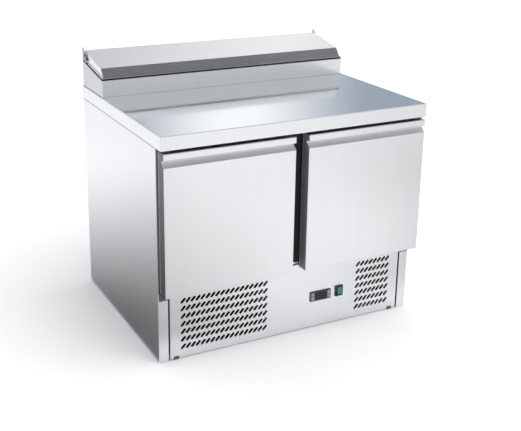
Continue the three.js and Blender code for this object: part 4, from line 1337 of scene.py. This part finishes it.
def closed_sheet(top, bottom):
    """Two matching grids closed along their shared rim."""
    rows, columns = top.shape[:2]
    order = np.arange(rows * columns).reshape(rows, columns)
    quads = np.stack([order[:-1, :-1], order[:-1, 1:], order[1:, 1:], order[1:, :-1]],
                     axis=-1).reshape(-1, 4)
    edge = np.concatenate([order[0, :-1], order[:-1, -1], order[-1, :0:-1], order[:0:-1, 0]])
    following = np.roll(edge, -1)
    side = np.stack([edge, edge + order.size, following + order.size, following], axis=-1)
    faces = np.concatenate([quads, quads[:, ::-1] + order.size, side])
    return np.concatenate([top.reshape(-1, 3), bottom.reshape(-1, 3)]), faces.tolist()


class PREPTABLE_OT_cooling_unit(Operator):
    """Build the compressor, condenser, fan and pipes behind the lower panel"""

    bl_idname = "preptable.cooling_unit"
    bl_label = "Cooling unit"

    def execute(self, context):
        # The condenser's black paint also stands in for the shade behind the louvre slots.
        paint(look("black_fins"), "condenser")
        paint(look("black_paint"), "fan_shroud", "fan_motor")
        paint(look("black_plastic"), "drain_tray")
        paint(look("copper"), "discharge_pipe")
        fan_wheel("condenser_fan", look("aluminium"))
        self.compressor()
        return {"FINISHED"}

    def compressor(self):
        """Two deep-drawn shells with a weld seam, on a folded foot plate."""
        (x0, y0, z0), (x1, y1, z1) = low("compressor"), high("compressor")
        middle = ((x0 + x1) / 2, (y0 + y1) / 2)
        radius, foot = (y1 - y0) / 2, 14 * MM
        base, dome = radius * 0.25, radius * 0.55
        narrow, upper = radius * 0.94, radius * 0.97
        shoulder, lower = z1 - dome, z0 + foot + base
        seam = (lower + shoulder) / 2
        turn = np.linspace(0, math.pi / 2, 9)
        profile = np.concatenate([
            np.column_stack([narrow * np.sin(turn), lower - base * np.cos(turn)]),
            [(narrow, seam), (radius, seam + 1 * MM), (radius, seam + 5 * MM),
             (upper, seam + 6 * MM)],
            np.column_stack([upper * np.cos(turn), shoulder + dome * np.sin(turn)]),
        ])
        shell = turned(profile, "z", middle, 40)
        plate = rounded_block((x0, y0 + 12 * MM, z0 + 8 * MM), (x1, y1 - 12 * MM, z0 + 11 * MM),
                              1.4 * MM, 3)
        grommet = np.array([(7, 0), (8, 2), (6, 6), (8, 9), (7, 13)]) * MM + [0, z0]
        aside, ahead = 12 * MM, 26 * MM
        grommets = [turned(grommet, "z", (x, y), 20)
                    for x in (x0 + aside, x1 - aside) for y in (y0 + ahead, y1 - ahead)]
        box = rounded_block((x0 + 2 * MM, middle[1] - 24 * MM, z0 + 60 * MM),
                            (x0 + 30 * MM, middle[1] + 24 * MM, z0 + 112 * MM), 4 * MM, 4)
        piece("compressor_shell", together(shell, plate), "cabinet", look("black_paint"),
              ["compressor"], "black_paint", 40)
        piece("compressor_grommets", together(*grommets), "cabinet", look("seal"),
              slot="seal_rubber")
        piece("compressor_terminal_box", box, "cabinet", look("black_plastic"),
              slot="black_plastic")


# ------------------------------------------------------------------ studio


HIDDEN_FROM_ALL_BUT_MIRRORS = ("camera", "diffuse", "shadow", "transmission", "volume_scatter")
HIDDEN_FROM_ALL_BUT_CAMERA = ("glossy", "diffuse", "shadow", "transmission", "volume_scatter")

# The boards' greys are painted shade of the floor, seen only in the steel's reflections.
# Each board on the floor: its name, two opposite corners, the axis its grey runs along, the two
# places where the run starts and ends, and its grey at each.
FLOOR_BOARDS = (
    ("side_board", (-1.7, -1.3), (-0.455, 1.9), "Y", (0.0, 1.55), (0.21, 0.98)),
    ("right_board", (0.455, -0.3), (1.9, 1.9), "X", (0.455, 1.7), (0.45, 0.92)),
    ("near_board_left", (-0.9, -0.75), (0.2, -0.42), "X", (-0.45, 0.1), (0.34, 0.93)),
    ("near_board_right", (0.2, -0.75), (1.3, -0.42), "X", (0.8, 0.25), (0.42, 0.93)),
    ("front_board_left", (-2.4, -2.1), (0.62, -0.75), "X", (-0.5, 0.62), (0.50, 0.95)),
    ("front_board_right", (0.62, -2.1), (3.4, -0.75), "X", (1.6, 0.62), (0.36, 0.95)),
)


def studio_piece(name, surface, material, hidden_from=()):
    """A piece of the stage, left out of the named kinds of light rays."""
    made = as_object(name, surface)
    made.data.materials.append(material)
    for way in hidden_from:
        setattr(made, f"visible_{way}", False)


def flat(*corners):
    """One flat face through the corners, which run anticlockwise seen from its front."""
    return np.array(corners, float), [list(range(len(corners)))]


class PREPTABLE_OT_stage(Operator):
    """Set the floor, the lights and the camera"""

    bl_idname = "preptable.stage"
    bl_label = "Stage"

    def execute(self, context):
        self.floor()
        self.world()
        self.lamps()
        self.boards()
        self.backdrop()
        self.camera()
        return {"FINISHED"}

    def floor(self):
        """A wide sheet of paper a hair under the object's foot."""
        reach, below = 14.0, -0.4 * MM
        studio_piece("studio_floor", flat((-reach, -reach, below), (reach, -reach, below),
                                          (reach, reach, below), (-reach, reach, below)),
                     studio_floor_material("studio_floor"))

    def world(self):
        """A soft studio: white above and behind, dark above the front, a bright strip at the back.

        The front-to-back share of the direction blends dark to white; low down at the back the
        wall is bluish grey, but for one soft upright strip, where the direction lies across
        the strip's own normal.
        """
        world = bpy.data.worlds.new("studio")
        bpy.context.scene.world = world
        world.use_nodes = True
        sky = NodeTree(world.node_tree)
        place = sky.add("ShaderNodeTexCoord").outputs["Generated"]
        parts = sky.add("ShaderNodeSeparateXYZ", Vector=place).outputs

        def ramp(value, start, end):
            """The share from 0 to 1 between two values, eased at both ends."""
            share = sky.ranged(value, 0, 1, start, end)
            share.node.interpolation_type = "SMOOTHSTEP"
            return share

        aside = sky.add("ShaderNodeVectorMath")
        aside.operation = "DOT_PRODUCT"
        sky.put(aside, 0, place)
        sky.put(aside, 1, (0.894, -0.448, 0))
        off = sky.add("ShaderNodeMath", Value=aside.outputs["Value"])
        off.operation = "ABSOLUTE"
        low_wall = sky.blend(ramp(off.outputs[0], 0.0, 0.15), (1.2, 1.2, 1.2, 1),
                             (0.40, 0.45, 0.53, 1))
        back = sky.blend(ramp(parts["Z"], 0.34, 0.52), low_wall, (1.15, 1.15, 1.15, 1))
        front = sky.blend(ramp(parts["Z"], 0.30, 0.62), (0.78, 0.79, 0.80, 1),
                          (0.13, 0.135, 0.145, 1))
        background = sky.tree.nodes["Background"]
        sky.put(background, "Color", sky.blend(ramp(parts["Y"], -0.42, 0.12), front, back))
        sky.put(background, "Strength", 1.0)

    def lamps(self):
        """A very wide, soft sun from the upper right, so that light does not fall off."""
        data = bpy.data.lights.new("key_light", "SUN")
        data.energy, data.angle = 2.3, math.radians(60)
        lamp = bpy.data.objects.new("key_light", data)
        bpy.context.scene.collection.objects.link(lamp)
        lamp.rotation_mode = "QUATERNION"
        lamp.rotation_quaternion = Vector((-0.35, 0.45, -0.82)).to_track_quat("-Z", "Y")
        lamp.visible_glossy = False

    def boards(self):
        """Boards that only mirror-like surfaces see, the grey of each running along an axis:
        painted reflections.

        On the floor, the one on the left runs from dark at the front to pale at the back, the
        one on the right from grey to pale, and the pairs in front are pale in the middle and
        greyer at both ends: all painted shade of the floor for the steel to reflect. The upright
        one, high behind, glows and is greyer to the left: a painted highlight in the steel.
        """
        lift = 2 * MM
        for name, (x0, y0), (x1, y1), axis, places, greys in FLOOR_BOARDS:
            nodes, share = self.run(name, axis, places)
            nodes.set(base=nodes.blend(share, *(rgba((grey,) * 3) for grey in greys)))
            studio_piece(name, flat((x0, y0, lift), (x1, y0, lift), (x1, y1, lift),
                                    (x0, y1, lift)), nodes.material, HIDDEN_FROM_ALL_BUT_MIRRORS)
        nodes, share = self.run("back_board", "X", (0.4, 2.0))
        nodes.set(base=BLACK, emission_strength=1.0,
                  emission=nodes.blend(share, (0.66, 0.67, 0.69, 1), (1.1, 1.1, 1.1, 1)))
        left, right, y, foot, top = -2.5, 2.4, 3, 1.9, 3.8
        studio_piece("back_board", flat((left, y, foot), (right, y, foot), (right, y, top),
                                        (left, y, top)),
                     nodes.material, HIDDEN_FROM_ALL_BUT_MIRRORS)

    def run(self, name, axis, places):
        """A matt material's nodes, and the share from 0 to 1 between two places on an axis."""
        nodes = Nodes(name)
        nodes.set(roughness=1.0, specular=0.0)
        parts = nodes.add("ShaderNodeSeparateXYZ", Vector=nodes.place)
        return nodes, nodes.ranged(parts.outputs[axis], 0, 1, *places)

    def backdrop(self):
        """A pale round wall behind everything, which lights nothing and is not reflected."""
        angle = np.linspace(0, 2 * math.pi, 64, endpoint=False)
        radius, foot, top = 13.5, -0.01, 14.0
        circle = radius * np.column_stack([np.cos(angle), np.sin(angle)])
        nodes = Nodes("studio_backdrop")
        nodes.set(base=BLACK, roughness=1.0, specular=0.0, emission=(1, 1, 1, 1),
                  emission_strength=1.0)
        studio_piece("studio_backdrop",
                     loft(np.stack([circle, circle]), [foot, top], "z", caps=False),
                     nodes.material, HIDDEN_FROM_ALL_BUT_CAMERA)

    def camera(self):
        """A camera in front and to the left, looking slightly down, its direction from angles."""
        data = bpy.data.cameras.new("camera")
        data.sensor_width, data.lens = 36.0, 63.698
        data.shift_x, data.shift_y = 0.05, -0.10
        data.clip_start, data.clip_end = 0.05, 60
        camera = bpy.data.objects.new("camera", data)
        bpy.context.scene.collection.objects.link(camera)
        turn, pitch, roll = math.radians(26.599), math.radians(17.759), math.radians(0.472)
        camera.location = (-1.3519, -2.597, 1.4217)
        camera.rotation_mode = "QUATERNION"
        forward = Vector((math.sin(turn) * math.cos(pitch), math.cos(turn) * math.cos(pitch),
                          -math.sin(pitch)))
        aim = forward.to_track_quat("-Z", "Y").to_matrix()
        camera.rotation_quaternion = (aim @ Matrix.Rotation(roll, 3, "Z")).to_quaternion()
        bpy.context.scene.camera = camera
        bpy.context.scene.view_settings.view_transform = "Standard"


class PREPTABLE_PT_sidebar(Panel):
    """The prep table's operators and settings"""

    bl_idname = "PREPTABLE_PT_sidebar"
    bl_label = "Prep table"
    bl_space_type = "VIEW_3D"
    bl_region_type = "UI"
    bl_category = "Prep table"

    def draw(self, context):
        for operator in OPERATORS:
            self.layout.operator(operator.bl_idname)
        for settings in (shape(), steel_settings()):
            for name in settings.bl_rna.properties.keys():
                if name not in ("rna_type", "name"):
                    self.layout.prop(settings, name)


OPERATORS = (
    PREPTABLE_OT_cabinet,
    PREPTABLE_OT_louvred_panel,
    PREPTABLE_OT_worktop,
    PREPTABLE_OT_pan_housing,
    PREPTABLE_OT_lid,
    PREPTABLE_OT_doors,
    PREPTABLE_OT_controls,
    PREPTABLE_OT_interior,
    PREPTABLE_OT_cooling_unit,
    PREPTABLE_OT_stage,
)
CLASSES = (SteelSettings, ShapeSettings, *OPERATORS, PREPTABLE_PT_sidebar)


def register():
    """Registers the classes and hangs both groups of settings on the scene."""
    for cls in CLASSES:
        bpy.utils.register_class(cls)
    bpy.types.Scene.prep_table_steel = PointerProperty(type=SteelSettings)
    bpy.types.Scene.prep_table_shape = PointerProperty(type=ShapeSettings)


def unregister():
    """Takes back all that register did."""
    del bpy.types.Scene.prep_table_shape
    del bpy.types.Scene.prep_table_steel
    for cls in reversed(CLASSES):
        bpy.utils.unregister_class(cls)


def main():
    """Builds everything in order."""
    register()
    for operator in OPERATORS:
        group, name = operator.bl_idname.split(".")
        getattr(getattr(bpy.ops, group), name)()


if __name__ == "__main__":
    main()
